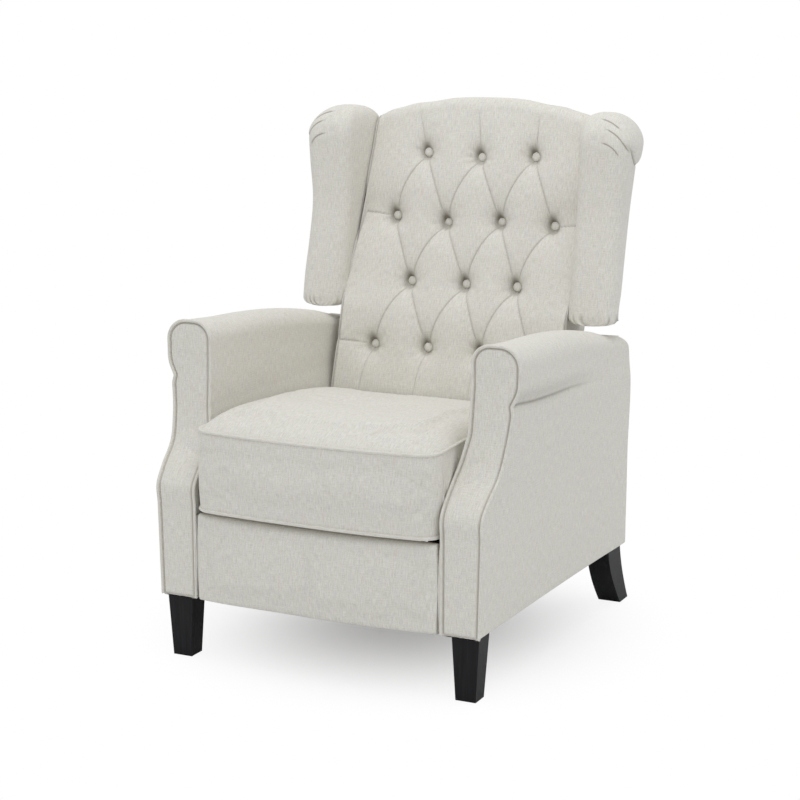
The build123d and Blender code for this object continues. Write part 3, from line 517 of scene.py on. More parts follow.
def facing(side):
    """Loops at heights from the hem to the roll's crown, and their crease values, painted shade in the
    furrow.

    Each loop runs across the front from the outer edge to the inner one, by
    even turns of a half circle, and back behind it. The front stands out by
    puff (1 - exp(-d / 7)) and sinks by depth exp(-((d - at) / 1.5) ^ 2), where
    d is the distance to the arm's outline.
    """
    sparse = np.concatenate(arm_loops(np.zeros(1))[1:]).T
    run = run_lengths(sparse, 0)
    outline = np.stack([np.interp(np.arange(0, run[-1], 0.7), run, line) for line in sparse.T], -1)
    crown = np.argmax(outline[:, 1])
    outer, inner = outline[:crown + 1], outline[crown:][::-1]
    above = outline[crown, 1] - 1.2 - FACING_ROLL
    over_roll = FACING_ROLL + above * np.sin(np.linspace(0, math.pi / 2, 60))
    rise = np.concatenate([np.linspace(HEM + 1.0, FACING_ROLL, 170)[:-1], over_roll])
    right = np.interp(rise, outer[:, 1], outer[:, 0]) - 1.0
    left = np.interp(rise, inner[:, 1], inner[:, 0]) + 1.0
    across = 0.5 - 0.5 * np.cos(np.linspace(0, math.pi, 46))
    x = right[:, None] + (left - right)[:, None] * across
    z = np.broadcast_to(rise[:, None], x.shape)
    gap = np.hypot(x[..., None] - outline[:, 0], z[..., None] - outline[:, 1]).min(axis=-1)
    sunk = bell(gap - FURROW_AT, FURROW_WIDTH)
    puff = FACING_PUFF * (1 - np.exp(-gap / FACING_SOFT))
    front = np.stack([x, arm_front(z) - puff + FURROW_DEPTH * sunk + 2.6 * bell(gap, 1.6), z], -1)
    front[..., 1] += waver(front, 90.0, 0.4, 50 + side) * rising(gap, 6, 14)
    rear = front[:, [-1, 0]].copy()
    rear[..., 1] = arm_front(rear[..., 2]) + 9.0
    loops = np.concatenate([front, rear], axis=1) * (side, 1, 1)
    # painted shade in the furrow beside the cord
    crease_shade = np.concatenate([sunk * FURROW_SHADE, np.zeros((len(rise), 2))], axis=1)
    shut = [(1.0, 0.0)]
    return close_ends(np.roll(loops, 1, axis=1), 1, shut, shut, np.roll(crease_shade, 1, axis=1))


def facing_cord(side):
    """The welt's path along the arm's outline, clear of the corners at the hem."""
    x, z = np.concatenate(arm_loops(np.zeros(1))[1:])[:, 9:-9]
    outward = np.stack([np.gradient(z), -np.gradient(x)], -1)
    outward /= np.linalg.norm(outward, axis=-1, keepdims=True)
    path = np.stack([x + outward[:, 0] * 0.2, arm_front(z) - 0.6, z + outward[:, 1] * 0.2], -1)
    return path * MM * (side, 1, 1)


def tube(name, path, radius, body):
    """A round welt cord along an open path, with closed ends.

    A circle is carried along the path in the frame of its tangent and a
    steady side direction, and shrinks to nothing at each end.
    """
    tangent = np.gradient(path, axis=0)
    tangent /= np.linalg.norm(tangent, axis=-1, keepdims=True)
    side = np.cross(tangent, np.roll(tangent, 1, axis=0) + (0.013, 0.011, 0.017))
    side[0] = side[1]
    for index in range(1, len(side)):
        side[index] = side[index - 1] - tangent[index] * side[index - 1].dot(tangent[index])
        side[index] /= np.linalg.norm(side[index])
    side[0] = side[1]
    up = np.cross(tangent, side)
    turn = np.linspace(0, 2 * math.pi, CORD_SIDES, endpoint=False)[None, :, None]
    loops = path[:, None] + radius * (np.cos(turn) * side[:, None] + np.sin(turn) * up[:, None])
    first, last = (np.repeat(path[None, [end]], CORD_SIDES, axis=1) for end in (0, -1))
    return lofted(name, (np.concatenate([first, loops, last]), None), body)


for side, word in SIDES:
    lofted("facing_" + word, facing(side), "base", ["arm_facing_" + word], axis=1, flip=side < 0)
    tube("facing_cord_" + word, facing_cord(side), CORD_R * MM, "base")

# ------------------ seat cushion
# A boxed foam cushion with a crowned top, a bowed front, round front corners
# and a lip that hangs over the front rail. Welt cords follow the top edge
# round both corners and back along the sides, and the bottom of the band.
SEAT_X = 241.0
SEAT_FRONT, SEAT_BOW = -400.0, 14.5
SEAT_LIP, SEAT_WELT, SEAT_FLOOR = 298.0, 446.0, 342.5
SEAT_LIP_BACK, SEAT_REAR_TOP, SEAT_REAR_LOW = -372.0, 147.0, 124.0
SEAT_TURN, SEAT_ROUND = 30.0, 7.0
SEAT_RISE_Y, SEAT_RISE = [-400, -370, -300, -150, 0, 150], [0, 1, 3, 1, -8, -22]
SEAT_CROWN = 30.0
SEAT_FALL_Y, SEAT_FALL = [-400, -260, -150, 0, 60, 150], [1.0, 1.0, 0.88, 0.58, 0.34, 0.0]
BAND_PUFF = 3.2
SETTLE_FRAMES, SETTLE_REACH = 14, 0.006


def seat_plan(x):
    """Front edge y at x, and how far the corner turns there as (sine, cosine), both signed outwards."""
    past = rising(np.abs(x), SEAT_X - SEAT_TURN, SEAT_X)
    level = np.sqrt(1 - past ** 2)
    bow = SEAT_BOW * (1 - rising(np.abs(x), 0, SEAT_X) ** 2)
    return SEAT_FRONT - bow + SEAT_TURN * (1 - level), past * np.sign(x), level


def seat_edge(y):
    """Height of the top welt at y."""
    return SEAT_WELT + curve(y, SEAT_RISE_Y, SEAT_RISE)


def corner_run(count):
    """The x of a front corner's points, at even turns of it."""
    return SEAT_X - SEAT_TURN + SEAT_TURN * np.sin(np.linspace(0, math.pi / 2, count))


def seat_skin():
    """Loops at even turns of the corners and even steps between them, closed at both sides."""
    bend = corner_run(22)
    x = np.concatenate([-bend[::-1], np.linspace(-bend[0], bend[0], 112)[1:-1], bend])
    front, sine, cosine = seat_plan(x)
    inset = SEAT_ROUND * (1 - np.sqrt(1 - rising(np.abs(x), SEAT_X - SEAT_ROUND, SEAT_X) ** 2))
    lip, welt = SEAT_LIP + inset * 0.6, SEAT_WELT - inset
    points = [
        (front, lip), (front, welt), (SEAT_REAR_TOP, welt), (SEAT_REAR_LOW, SEAT_FLOOR),
        (SEAT_LIP_BACK, SEAT_FLOOR), (SEAT_LIP_BACK, lip),
    ]
    radii, arcs, edges = [6, 6, 22, 6, 2, 2], [6, 7, 10, 4, 3, 3], [44, 150, 14, 20, 6, 4]
    wide, y, z = rounded_loops(x, points, radii, arcs, edges, 6 + 22)
    front = front[:, None]
    top = rising(z, SEAT_WELT - 16, SEAT_WELT - 6)
    from_side = np.clip(SEAT_X - np.abs(wide), 0, None)
    inside = (1 - np.exp(-(y - front) / 30)) * (1 - np.exp(-from_side / 18))
    crown = SEAT_CROWN * inside * curve(y, SEAT_FALL_Y, SEAT_FALL)
    z = z + top * (seat_edge(y) - SEAT_WELT + crown)
    face = rising(y, front + 18, front + 2) * np.sin(np.pi * rising(z, SEAT_LIP, SEAT_WELT)) ** 0.6
    puff = BAND_PUFF * face
    loops = np.stack([wide + puff * sine[:, None], y - puff * cosine[:, None], z], -1)
    loops[..., 2] += top * waver(loops, 190.0, 0.9, 3)
    loops[..., 1] += face * waver(loops, 150.0, 0.7, 8)
    ends = [(0.15, 1.2), (0.4, 2.4), (0.7, 3.0), (1.0, 3.2)]
    return close_ends(loops, 0, ends, ends)


def seat_cord(lower, reach):
    """The welt's path: along the front, round both corners and back to y = reach."""
    bend = corner_run(18)
    half_x = np.concatenate([np.linspace(0, bend[0], 60)[:-1], bend])
    half_y = seat_plan(half_x)[0]
    side_y = np.linspace(half_y[-1], reach, 60)[1:]
    x, y = np.concatenate([half_x, np.full(len(side_y), SEAT_X)]), np.concatenate([half_y, side_y])
    x, y = np.concatenate([-x[::-1], x[1:]]), np.concatenate([y[::-1], y[1:]])
    level = np.stack([x, y, x * 0], -1)
    if lower:
        return np.stack([x * 1.002, y, SEAT_LIP + 1.2 + waver(level, 260.0, 0.8, 12)], -1) * MM
    return np.stack([x * 0.9985, y, seat_edge(y) + 0.6 + waver(level, 260.0, 0.7, 11)], -1) * MM


def seat_loose(points):
    """The top and the front band are free, the welts, the underside and the rear are held."""
    x, y, z = points.T
    front, edge = seat_plan(x)[0], seat_edge(y)
    inward = np.minimum(SEAT_X - np.abs(x), y - front + 4)
    on_top = rising(inward, 5, 45) * (z > edge - 2) * rising(y, 100, 40)
    band = rising(z, SEAT_LIP + 8, SEAT_LIP + 38) * rising(z, edge - 7, edge - 37) * (y < front + 12)
    return np.maximum(on_top, band * rising(np.abs(x), SEAT_X - 4, SEAT_X - 14))


def settle(piece, free):
    """Lets the stuffing press the cover outwards in a short run of the cloth solver.

    The cloth starts two per cent too large, so it puckers beside the seams,
    which are held. free(points in mm) says how loose each point is, from 0 to
    1, and no point ends up further than SETTLE_REACH from where it was.
    """
    mesh = piece.data
    count = len(mesh.vertices)
    start = np.zeros(count * 3)
    mesh.vertices.foreach_get("co", start)
    start = start.reshape(-1, 3)
    loose = np.clip(free(start / MM), 0, 1)
    held = piece.vertex_groups.new(name="held")
    for level in range(10):
        members = np.nonzero(np.round((1 - loose) * 9).astype(int) == level)[0]
        if len(members):
            held.add(members.tolist(), level / 9, "REPLACE")
    cloth = piece.modifiers.new("cloth", "CLOTH")
    settings = cloth.settings
    settings.quality = 3
    settings.mass = 0.3
    settings.tension_stiffness = settings.compression_stiffness = 20.0
    settings.shear_stiffness = 8.0
    settings.bending_stiffness = 0.4
    settings.shrink_min = -0.02
    settings.vertex_group_mass = held.name
    settings.use_pressure = True
    settings.uniform_pressure_force = 1.2
    settings.effector_weights.gravity = 0.0
    cloth.collision_settings.use_collision = False
    cloth.point_cache.frame_end = SETTLE_FRAMES
    for moment in range(1, SETTLE_FRAMES + 1):
        bpy.context.scene.frame_set(moment)
    result = piece.evaluated_get(bpy.context.evaluated_depsgraph_get()).data
    end = np.zeros(count * 3)
    result.vertices.foreach_get("co", end)
    moved = end.reshape(-1, 3) - start
    far = np.linalg.norm(moved, axis=-1, keepdims=True)
    moved *= np.minimum(1.0, SETTLE_REACH / np.maximum(far, 1e-9)) * loose[:, None] ** 0.5
    piece.modifiers.remove(cloth)
    piece.vertex_groups.remove(held)
    bpy.context.scene.frame_set(1)
    mesh.vertices.foreach_set("co", (start + moved).ravel())
    mesh.update()


cushion = lofted("seat_cushion_cover", seat_skin(), "seat", ["seat_cushion"], axis=0)
settle(cushion, seat_loose)
tube("seat_cord_top", seat_cord(False, 90.0), CORD_R * MM, "seat")
tube("seat_cord_bottom", seat_cord(True, -373.0), CORD_R * MM * 1.25, "seat")

# ------------------ footrest pad
# The panel under the cushion is a thin pad over a board. It swings out as the
# footrest, so its edges are pulled round and stapled behind.
REST_X, REST_LOW, REST_HIGH = 248.0, 122.5, 287.5
REST_BACK, REST_EDGE, REST_BOW = -377.2, -389.0, 23.0


def rest_skin():
    """Loops from side to side, closed at both."""
    x = np.linspace(-REST_X + 7, REST_X - 7, 120)
    front = REST_EDGE - REST_BOW * (1 - np.abs(x / REST_X) ** 2.1)
    points = [(front, REST_LOW), (front, REST_HIGH), (REST_BACK, REST_HIGH), (REST_BACK, REST_LOW)]
    thick = 0.8 * (REST_BACK - front)
    radii = [np.clip(thick, 8, 24), np.clip(thick, 8, 20), 2.0, 2.0]
    points = np.stack(rounded_loops(x, points, radii, [12, 12, 3, 3], [60, 6, 60, 6], 12 + 30), -1)
    face = rising(points[..., 1], REST_BACK - 3, REST_BACK - 15)
    points[..., 1] += face * waver(points, 170.0, 0.9, 21)
    points[..., 2] += waver(points, 230.0, 0.5, 22) * rising(points[..., 2], 200, 120)
    ends = [(1.0, 3.5), (3.5, 6.1), (7.0, 7.0), (0.5, 7.2), (1.0, 7.3)]
    return close_ends(points, 0, ends, ends)


def rest_loose(points):
    """The face is free, more so towards its middle. The edges and the rear are held."""
    x, y, z = points.T
    inward = np.minimum(REST_X - np.abs(x), np.minimum(z - REST_LOW, REST_HIGH - z))
    return rising(inward, 4, 30) * (y < REST_EDGE - 1)


rest = lofted("footrest_pad_cover", rest_skin(), "footrest", ["footrest_pad"], axis=0)
settle(rest, rest_loose)

# ------------------ tufted back
# One deep pad leans back between the wings, arched at the crest. Fourteen
# covered buttons pull it in, and between them the linen folds into pleats.
REAR_SLOPE = 0.2122
REAR_FOOT_Y, REAR_FOOT_Z = 264.0, 300.0
PAD_Z = [305, 424, 512, 569, 639, 700, 765, 841, 895, 960, 1020]
PAD_T = [140, 136, 123, 115, 97, 84, 75, 71, 66, 56, 48]
EDGE_Z = [305, 560, 601, 616, 650, 700, 735, 764, 785, 830, 861, 901, 942, 975, 1020]
EDGE_T = [140, 130, 125, 119, 108, 99, 88, 74, 67, 70, 68, 59, 52, 48, 42]
CREST_X = [0, 80, 120, 165, 188, 215, 246]
CREST_Z = [1014, 1010.5, 1003.5, 997.5, 991, 984, 972]
BACK_SIDE, BACK_FOOT, BACK_CREST = 243.0, 306.0, 1016.0
FOOT_THICK, CREST_THICK, FOOT_REAR, CREST_REAR = 140.0, 54.0, 10.0, 11.0
FACE_ROWS = 300
STEP = 116.6
BUTTON_SPOTS = [(895.6, 38.0, 3), (765.5, 42.0, 4), (639.0, 63.0, 3), (512.0, 95.0, 4)]
BUTTON_SHIFTS = [
    [(-2.0, 4.0), (2.5, -1.5), (4.0, 3.0)], [(0.0, 4.0), (1.0, -3.0), (3.0, 2.5), (2.0, -1.0)],
    [(-2.0, 3.0), (4.0, 3.5), (-1.0, 4.0)], [(1.0, 3.5), (4.0, 4.0), (4.0, 4.0), (0.0, 3.0)],
]
DIMPLE_FLAT, DIMPLE_WALL = 6.5, 16.0
FOLD_DEPTH, FOLD_WIDTH, VALLEY_DEPTH, VALLEY_WIDTH = 2.2, 1.9, 4.5, 13.0


def rear_plane(z):
    return REAR_FOOT_Y + REAR_SLOPE * (z - REAR_FOOT_Z)


def button_rows():
    """Each row's buttons as (x, z, depth before the rear plane), each pulled a little out of line by a listed
    shift.
    """
    return [
        [((i - (n - 1) / 2) * STEP + shifts[i][0], z + shifts[i][1], t) for i in range(n)]
        for (z, t, n), shifts in zip(BUTTON_SPOTS, BUTTON_SHIFTS)
    ]


def pleat_paths():
    """The folds: (start, end, bow, strength), from button to button, and on to the edges and the seat."""
    rows, paths = button_rows(), []
    for upper, lower in zip(rows, rows[1:]):
        for a in upper:
            for b in lower:
                if abs(a[0] - b[0]) < STEP * 0.75:
                    paths.append((a[:2], b[:2], 9.0 if b[0] < a[0] else -4.0, 1.0))
    for x, z, _ in rows[0]:
        paths.append(((x, z), (x * 1.125 - 12.0, 990.0), 2.0, 0.9))
    for row in (rows[1], rows[3]):
        for x, z, _ in (row[0], row[-1]):
            paths.append(((x, z + 3.0), (math.copysign(BACK_SIDE, x), z + 7.0), 1.0, 0.95))
    for x, z, _ in rows[3]:
        paths.append(((x, z), (x * 1.04 - 6, 400.0), 4.0, 0.7))
    return paths


def bowed(start, end, bow, count):
    """Points from start to end, pushed aside by bow halfway, as a half sine."""
    s = np.linspace(0, 1, count)[:, None]
    return np.array(start) * (1 - s) + np.array(end) * s + np.array(bow) * np.sin(np.pi * s)


def beside(path, u, v):
    """Signed distance of points (u, v) from a polyline, and how far along it they lie, from 0 to 1."""
    tangent = np.gradient(path, axis=0)
    tangent /= np.linalg.norm(tangent, axis=-1, keepdims=True)
    spot = np.hypot(u[:, None] - path[:, 0], v[:, None] - path[:, 1]).argmin(axis=1)
    du, dv = u - path[spot, 0], v - path[spot, 1]
    across = du * -tangent[spot, 1] + dv * tangent[spot, 0]
    past = np.hypot(du, dv) > 1.5 * np.abs(across) + 3.0
    return np.where(past, np.copysign(np.hypot(du, dv), across), across), spot / (len(path) - 1)


def tuft_depth(x, z, depths):
    """How far the face is drawn in at (x, z), in mm, and its crease value, which is painted shade.

    Along every fold it dips as 2.2 exp(-|s| / 1.9) + 4.5 exp(-|s| / 13) for
    the distance s, and on one side a lip rises beside the dip. Round every
    button it dips by that button's depth, flat under the button and then as
    exp(-(r / wall) ^ 1.1), wider above it, with gathers that ray out.
    """
    groove, valley, crease_shade = np.zeros(x.shape), np.zeros(x.shape), np.zeros(x.shape)
    for a, b, bow, strength in pleat_paths():
        run_x, run_z = np.subtract(b, a) / math.dist(a, b)
        path = bowed(a, b, (bow * run_z, -bow * run_x), 90)
        low, high = path.min(axis=0) - 60, path.max(axis=0) + 60
        near = (x > low[0]) & (x < high[0]) & (z > low[1]) & (z < high[1])
        gap, run = beside(path, x[near], z[near])
        fade = strength * (1 - (run ** 3 if strength < 0.95 else 0 * run))
        size = np.abs(gap)
        lip = 1.1 * np.exp(-size / 6.0) * (1 - np.exp(-size / 1.2)) * (gap < 0)
        fold, dent = FOLD_DEPTH * np.exp(-size / FOLD_WIDTH), VALLEY_DEPTH * np.exp(-size / VALLEY_WIDTH)
        groove[near] = np.maximum(groove[near], fade * fold) - fade * lip
        valley[near] = np.maximum(valley[near], fade * dent)
        # painted shade along each fold line
        crease_shade[near] = np.maximum(crease_shade[near], fade * 0.42 * bell(size, 1.2))
    dip = np.zeros(x.shape)
    draw = np.random.default_rng(17)
    for row, depth in zip(button_rows(), depths):
        for bx, bz, _ in row:
            rise = z - bz
            r = np.hypot(x - bx, rise * np.where(rise > 0, 0.85, 1.05))
            angle = np.arctan2(rise, x - bx)
            # painted shade: a dark patch above each button where its pit would be in shade, and a dark ring
            # round the button
            painted_pit_shade = 0.85 * bell(x - bx + 3.5, 9.5) * bell(rise - 14, 12.0)
            pit = np.exp(-(np.clip(r - DIMPLE_FLAT, 0, None) / DIMPLE_WALL) ** 1.1)
            rays = 1.3 * bell(r - 20, 11) * np.sin(draw.integers(7, 11) * angle + draw.uniform(0, 6.28))
            rays *= 0.6 + 0.4 * np.sin(2 * angle + draw.uniform(0, 6.28))
            dip = np.maximum(dip, depth * pit) + rays
            crease_shade = np.maximum(crease_shade, painted_pit_shade + 0.38 * bell(r - DIMPLE_FLAT - 3.5, 4.0))
    valley = valley * (1 - rising(dip, 0, 20))
    return np.maximum(groove + valley, 0) + dip, crease_shade


def back_skin():
    """The pad's loops from side to side and their crease values of painted shade.

    A plain wedge is lofted first. Its face then moves to the pad's thickness,
    which changes from the middle to the edges, and is drawn in by the tufting.
    """
    x = np.linspace(-BACK_SIDE + 5, BACK_SIDE - 5, 264)
    top = curve(np.abs(x), CREST_X, CREST_Z)
    foot, crest = rear_plane(BACK_FOOT), rear_plane(top)
    points = [
        (foot - FOOT_THICK, BACK_FOOT), (crest - CREST_THICK, top), (crest - CREST_REAR, top - 3.0),
        (foot - FOOT_REAR, BACK_FOOT),
    ]
    arcs, edges = [4, 22, 3, 3], [FACE_ROWS, 6, 10, 8]
    wide, y, z = rounded_loops(x, points, [8, 30, 3, 3], arcs, edges, 4 + FACE_ROWS // 2)
    face = rising(rear_plane(z) - y, 22, 42)
    wedge = FOOT_THICK + (z - BACK_FOOT) / (BACK_CREST - BACK_FOOT) * (CREST_THICK - FOOT_THICK)
    middle = curve(z, PAD_Z, PAD_T)
    edge = rising(np.abs(wide), 0, BACK_SIDE) ** 5
    y = y - face * (middle + edge * (curve(z, EDGE_Z, EDGE_T) - middle) - wedge)
    draw = face * rising(z, top[:, None], top[:, None] - 24)
    depths = [np.interp(spot[0], PAD_Z, PAD_T) - spot[1] for spot in BUTTON_SPOTS]
    tuft, crease_shade = tuft_depth(wide.ravel(), z.ravel(), depths)
    tuft, crease_shade = tuft.reshape(wide.shape) * draw, crease_shade.reshape(wide.shape) * draw
    y = y + tuft * 0.97
    z = z - tuft * 0.2
    # low down the sides swell against the wings' noses
    swell = 6.5 * rising(z, 780, 660) * rising(np.abs(wide), 205, BACK_SIDE) * face
    loops = np.stack([wide + np.sign(wide) * swell, y, z], -1)
    loops[..., 1] += draw * waver(loops, 120.0, 0.6, 31)
    ends = [(0.7, 2.8), (2.0, 4.3), (4.5, 5.0), (0.3, 5.0), (0.6, 5.0), (1.0, 5.0)]
    return close_ends(loops, 0, ends, ends, crease_shade)


lofted("back_pad_cover", back_skin(), "back", ["back_pad"], axis=0)

# ------------------ buttons
# Fourteen wooden shells covered in the same linen, drawn into the pad on twine.
BUTTON_R, BUTTON_H, BUTTON_SINK = 9.8, 4.8, 1.2


def button_caps():
    """One dome per button: a profile turned round the axis that leans with the back."""
    lean = math.atan(REAR_SLOPE)
    out = np.array([0.0, -math.cos(lean), math.sin(lean)])
    up = np.array([0.0, math.sin(lean), math.cos(lean)])
    angle = np.linspace(0, math.pi / 2, 9)
    radius = np.concatenate([[0.0, 0.8, 1.0], np.cos(angle) ** 0.85])[:, None, None] * BUTTON_R
    height = np.concatenate([[-0.7, -0.7, -0.35], np.sin(angle)])[:, None, None] * BUTTON_H
    turn = np.linspace(0, 2 * math.pi, 32, endpoint=False)[None, :, None]
    cap = radius * (np.cos(turn) * (1.0, 0.0, 0.0) + np.sin(turn) * up) + height * out
    spots = [spot for row in button_rows() for spot in row]
    middles = [(x, rear_plane(z) - t / math.cos(lean) + BUTTON_SINK, z) for x, z, t in spots]
    return (np.array(middles)[:, None, None] + cap) * MM


caps = button_caps()
count, rings, turns = caps.shape[:3]
cap_quads = quads_of(rings, turns, wrap=True)
cap_faces = (np.arange(count)[:, None, None] * rings * turns + cap_quads).reshape(-1, 4)
buttons = add_piece("buttons", caps, cap_faces, caps.reshape(-1, 3)[cap_faces][..., [0, 2]], "back")
weld(buttons)
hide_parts("back_buttons")

# ------------------ wings
# Two padded wings, bolted to the back's posts. Each has a round nose in front
# and a domed top whose outer shoulder is drawn over a lip, with three pleats
# fanned across the nose. The cloth is gathered under the bottom.
WING_Z = [598, 640, 720, 804, 880, 945]
WING_FRONT = [196, 202, 217, 232, 236, 236]
WING_REAR = [296, 309, 331, 354, 376, 394]
WING_OUT_F = [357, 355.5, 349, 348, 355, 357]
WING_OUT_R = [324.5, 325, 324.5, 324, 325, 326]
WING_IN = 243.4
WING_LOW, WING_LIP = 599.0, 890.0
CAP_FROM, CAP_TOP = 928.0, 995.5
CAP_X, CAP_Y = 289.0, 303.0
LIP_Y, LIP_Z, LIP_OUT = [236, 290, 334, 400], [938, 914, 895, 888], 10.0
PLEATS = [
    ((289, 985), (333, 966), (2, 3)), ((303, 968), (351, 921), (5.5, 7)), ((298, 941), (336, 915), (4, 4.5)),
]
WING_LOW_RINGS = [(2.0, 5.0), (6.0, 9.0), (12.0, 11.0), (0.6, 11.8), (1.0, 11.8)]


def wing_skin(side):
    """Loops from the bottom up and their crease values, painted shade along the lip, the pleats and the
    gathers.

    Above CAP_FROM the section shrinks to a point as a superellipse of the
    height, fuller on the inner side. Above the lip line the outer wall stands
    out by LIP_OUT (1 - exp(-h / 9)) for the height h over the line.
    """
    dome = CAP_FROM + (CAP_TOP - CAP_FROM) * np.sin(np.linspace(0, 1.56, 84))
    steps = [np.linspace(WING_LOW, WING_LIP, 110)[:-1], np.linspace(WING_LIP, CAP_FROM, 36)[:-1], dome]
    z = np.concatenate(steps)
    tables = (WING_FRONT, WING_REAR, WING_OUT_F, WING_OUT_R)
    front, rear, out_front, out_rear = (curve(z, WING_Z, table) for table in tables)
    points = [(WING_IN + 6, front), (out_front, front), (out_rear, rear), (WING_IN, rear)]
    tall, x, y = rounded_loops(z, points, [24, 30, 14, 5], [18, 30, 8, 6], [44, 70, 14, 40], 18 + 22)
    section_y = y
    over = tall - curve(y, LIP_Y, LIP_Z)
    outside = rising(x, 300, 322) * rising(y, 236, 286)
    x = x + outside * (LIP_OUT * (1 - np.exp(-np.clip(over, 0, None) / 9.0)) - 1.6 * bell(over, 2.5))
    # painted shade along the line where the shoulder is drawn over the lip
    crease_shade = 0.6 * outside * bell(over, 2.0) * rising(y, 240, 270)
    climb = rising(tall, CAP_FROM, CAP_TOP)
    kept_x = np.where(x < CAP_X, (1 - climb ** 3.2) ** 0.3125, (1 - climb ** 1.8) ** 0.5556)
    x = CAP_X + (x - CAP_X) * kept_x
    y = CAP_Y + (y - CAP_Y) * (1 - climb ** 2.2) ** 0.4545
    points = np.stack([x, y, tall], -1)
    nose = rising(section_y, front[:, None] + 80, front[:, None] + 50) * (tall > 880)
    for start, end, bow in PLEATS:
        path = bowed(start, end, bow, 80)
        gap, run = (found.reshape(x.shape) for found in beside(path, x.ravel(), tall.ravel()))
        held = nose * rising(run, 0, 0.2) * np.clip((1 - run) * 8, 0.2, 1)
        size = np.abs(gap)
        bulge = 1.6 * np.exp(-size / 7.0) * (1 - np.exp(-size / 1.5)) * (gap > 0)
        points[..., 1] += held * (1.5 * np.exp(-size / 1.4) - bulge)
        # painted shade along each pleat
        crease_shade = np.maximum(crease_shade, held * 0.75 * bell(size, 1.0))
    points[..., 0] += waver(points, 200.0, 0.6, 40 + side) * rising(points[..., 0], 262, 282)
    gathers = rising(tall, 612, 599) * rising(section_y, 250, 220)
    ripple = np.sin(x / 2.1 + 1.6 * np.sin(x / 7.0 + side)) * (0.6 + 0.4 * np.sin(x / 11.0 + 2 * side))
    points[..., 1] += gathers * 1.6 * ripple
    # painted shade on the gathers under the bottom
    crease_shade = np.maximum(crease_shade, gathers * 0.55 * np.clip(ripple, 0, 1) ** 2)
    return close_ends(points * (side, 1, 1), 2, WING_LOW_RINGS, [(1.0, 0.0)], crease_shade)


for side, word in SIDES:
    cover = "wing_" + word + "_cover"
    lofted(cover, wing_skin(side), "back", ["wing_" + word], axis=2, flip=side > 0)

# ------------------ rear panels
# Linen drawn over a thin pad closes the back of the backrest and of the base.
# Both are plain, with their edges turned over the panel and tacked.
SHELL_X, SHELL_T, SHELL_FOOT = 243.0, 9.8, 305.0
TAIL_X, TAIL_Y, TAIL_Z = 249.6, (271.0, 301.0), (123.5, 291.5)
SLAB_EDGE = 5.2


def slab_loops(x, points, radii, edges, seed):
    """Loops of a panel with rounded corners (y, z), which may change with x, softly uneven behind."""
    skin = np.stack(rounded_loops(x, points, radii, [5, 5, 6, 6], edges, 5 + edges[0] // 2), -1)
    skin[..., 1] += waver(skin, 210.0, 0.5, seed)
    ends = [(0.8, 2.8), (2.4, 4.6), (0.5, 5.0), (1.0, SLAB_EDGE)]
    return close_ends(skin, 0, ends, ends)


shell_x = np.linspace(-SHELL_X + SLAB_EDGE, SHELL_X - SLAB_EDGE, 110)
shell_top = curve(np.abs(shell_x), CREST_X, CREST_Z) - 2.5
foot_plane, top_plane = rear_plane(SHELL_FOOT), rear_plane(shell_top)
shell_points = [
    (foot_plane - SHELL_T, SHELL_FOOT), (top_plane - SHELL_T, shell_top),
    (top_plane + 0.5, shell_top), (foot_plane + 0.5, SHELL_FOOT),
]
shell = slab_loops(shell_x, shell_points, [3, 3, 5, 5], [20, 2, 120, 2], 71)
lofted("back_panel_cover", shell, "back", ["back_panel"], axis=0)

tail_x = np.linspace(-TAIL_X + SLAB_EDGE, TAIL_X - SLAB_EDGE, 90)
tail_points = [(TAIL_Y[0], TAIL_Z[0]), (TAIL_Y[0], TAIL_Z[1]), (TAIL_Y[1], TAIL_Z[1]), (TAIL_Y[1], TAIL_Z[0])]
tail = slab_loops(tail_x, tail_points, [3, 6, 8, 8], [8, 4, 44, 4], 72)
lofted("rear_panel_cover", tail, "base", ["rear_panel"], axis=0)

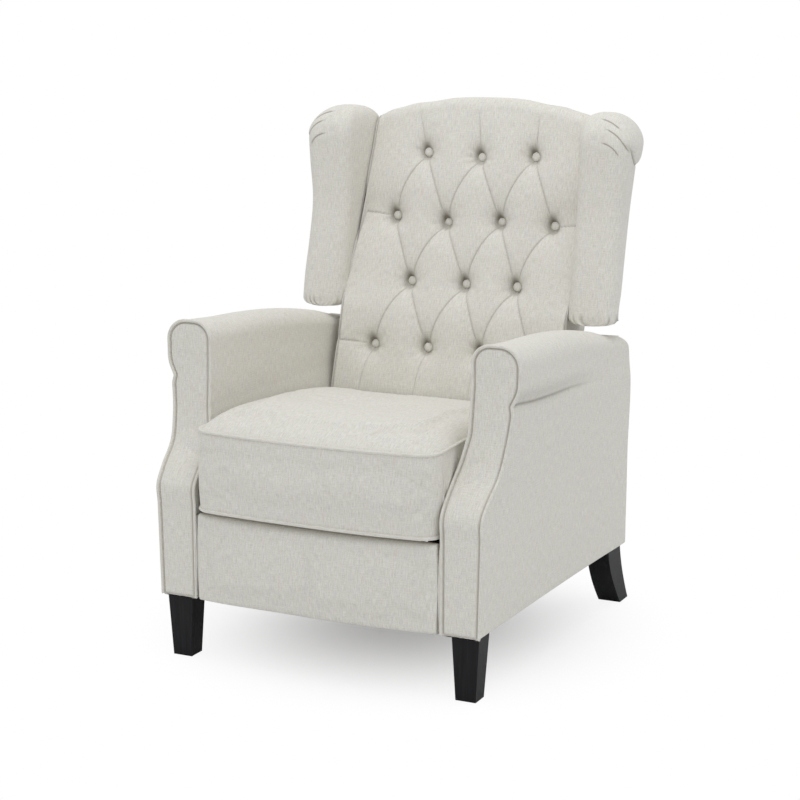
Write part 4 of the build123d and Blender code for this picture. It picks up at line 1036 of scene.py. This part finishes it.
# ------------------ steelwork
# The recliner mechanism: pressed steel rails, plates, tubes and lazy tongs
# under black powder coat, turning on zinc-plated rivets and pins.
POWDER = [(0.35, (0.016, 0.016, 0.017, 1)), (0.65, (0.030, 0.030, 0.031, 1))]
ZINC = [(0.35, (0.42, 0.42, 0.41, 1)), (0.65, (0.66, 0.66, 0.65, 1))]
PAINTED = """
    base_rail_right base_rail_left cross_tube_front cross_tube_rear swing_link_front swing_link_rear
    seat_plate_right seat_plate_left back_bracket_right back_bracket_left drive_link slide_link
    front_link cross_link short_link footrest_bracket
"""
PLATED = """
    leg_bolts rail_screws swing_pins_base carriage_pins spring_clips back_fasteners hinge_pins
    drive_link_rivets slide_link_rivets front_link_rivets cross_link_rivets footrest_screws
"""
powder_coat, _ = grained("powder_coat", 0.42, 0.0, (900.0, 4.0), POWDER, 0.0001)
zinc, _ = grained("zinc", 0.38, 1.0, (420.0, 4.0), ZINC, 0.00005)
wear(PAINTED, powder_coat)
wear(PLATED, zinc)

# ------------------ inner frame
# Planed pine rails and posts, and a plywood footrest board, all unfinished.
# Three zigzag springs of oiled wire and four elastic straps carry the padding.
PINE = [(0.36, (0.44, 0.28, 0.14, 1)), (0.62, (0.66, 0.48, 0.28, 1))]
WIRE = [(0.35, (0.030, 0.028, 0.026, 1)), (0.65, (0.085, 0.08, 0.075, 1))]
STRAP = [(0.35, (0.035, 0.035, 0.036, 1)), (0.65, (0.12, 0.12, 0.115, 1))]
WOODEN = """
    rail_cleat_right rail_cleat_left front_stretcher seat_side_rail_right seat_side_rail_left
    seat_front_rail seat_rear_rail back_post_right back_post_left back_bottom_rail
    back_middle_rail back_top_rail footrest_board
"""


def pine():
    """Long grain along x, crossed by slow bands of early and late wood."""
    material, tree, shader = new_material("pine", 0.7)
    place = object_place(tree)
    fibre = noise(tree, place, 1.0, 4.0, (14, 330, 330))
    band = noise(tree, place, 1.0, 2.0, (2.5, 42, 42))
    grain = combined(tree, "MULTIPLY", combined(tree, "ADD", fibre, band), 0.5)
    tree.links.new(ramp(tree, grain, PINE), shader.inputs["Base Color"])
    bump(tree, shader, fibre, 0.0003, 0.5)
    return material


bare_wood = pine()
oiled_wire, _ = grained("oiled_wire", 0.4, 1.0, (260.0, 4.0), WIRE, 0.0001)
# webbing with ribs along the strap
elastic, _ = grained("strap", 0.85, 0.0, (1.0, 1.0, (60, 60, 900)), STRAP, 0.0004, 0.6)
wear(WOODEN, bare_wood)
wear("back_webbing", elastic)
wear("seat_springs", oiled_wire)
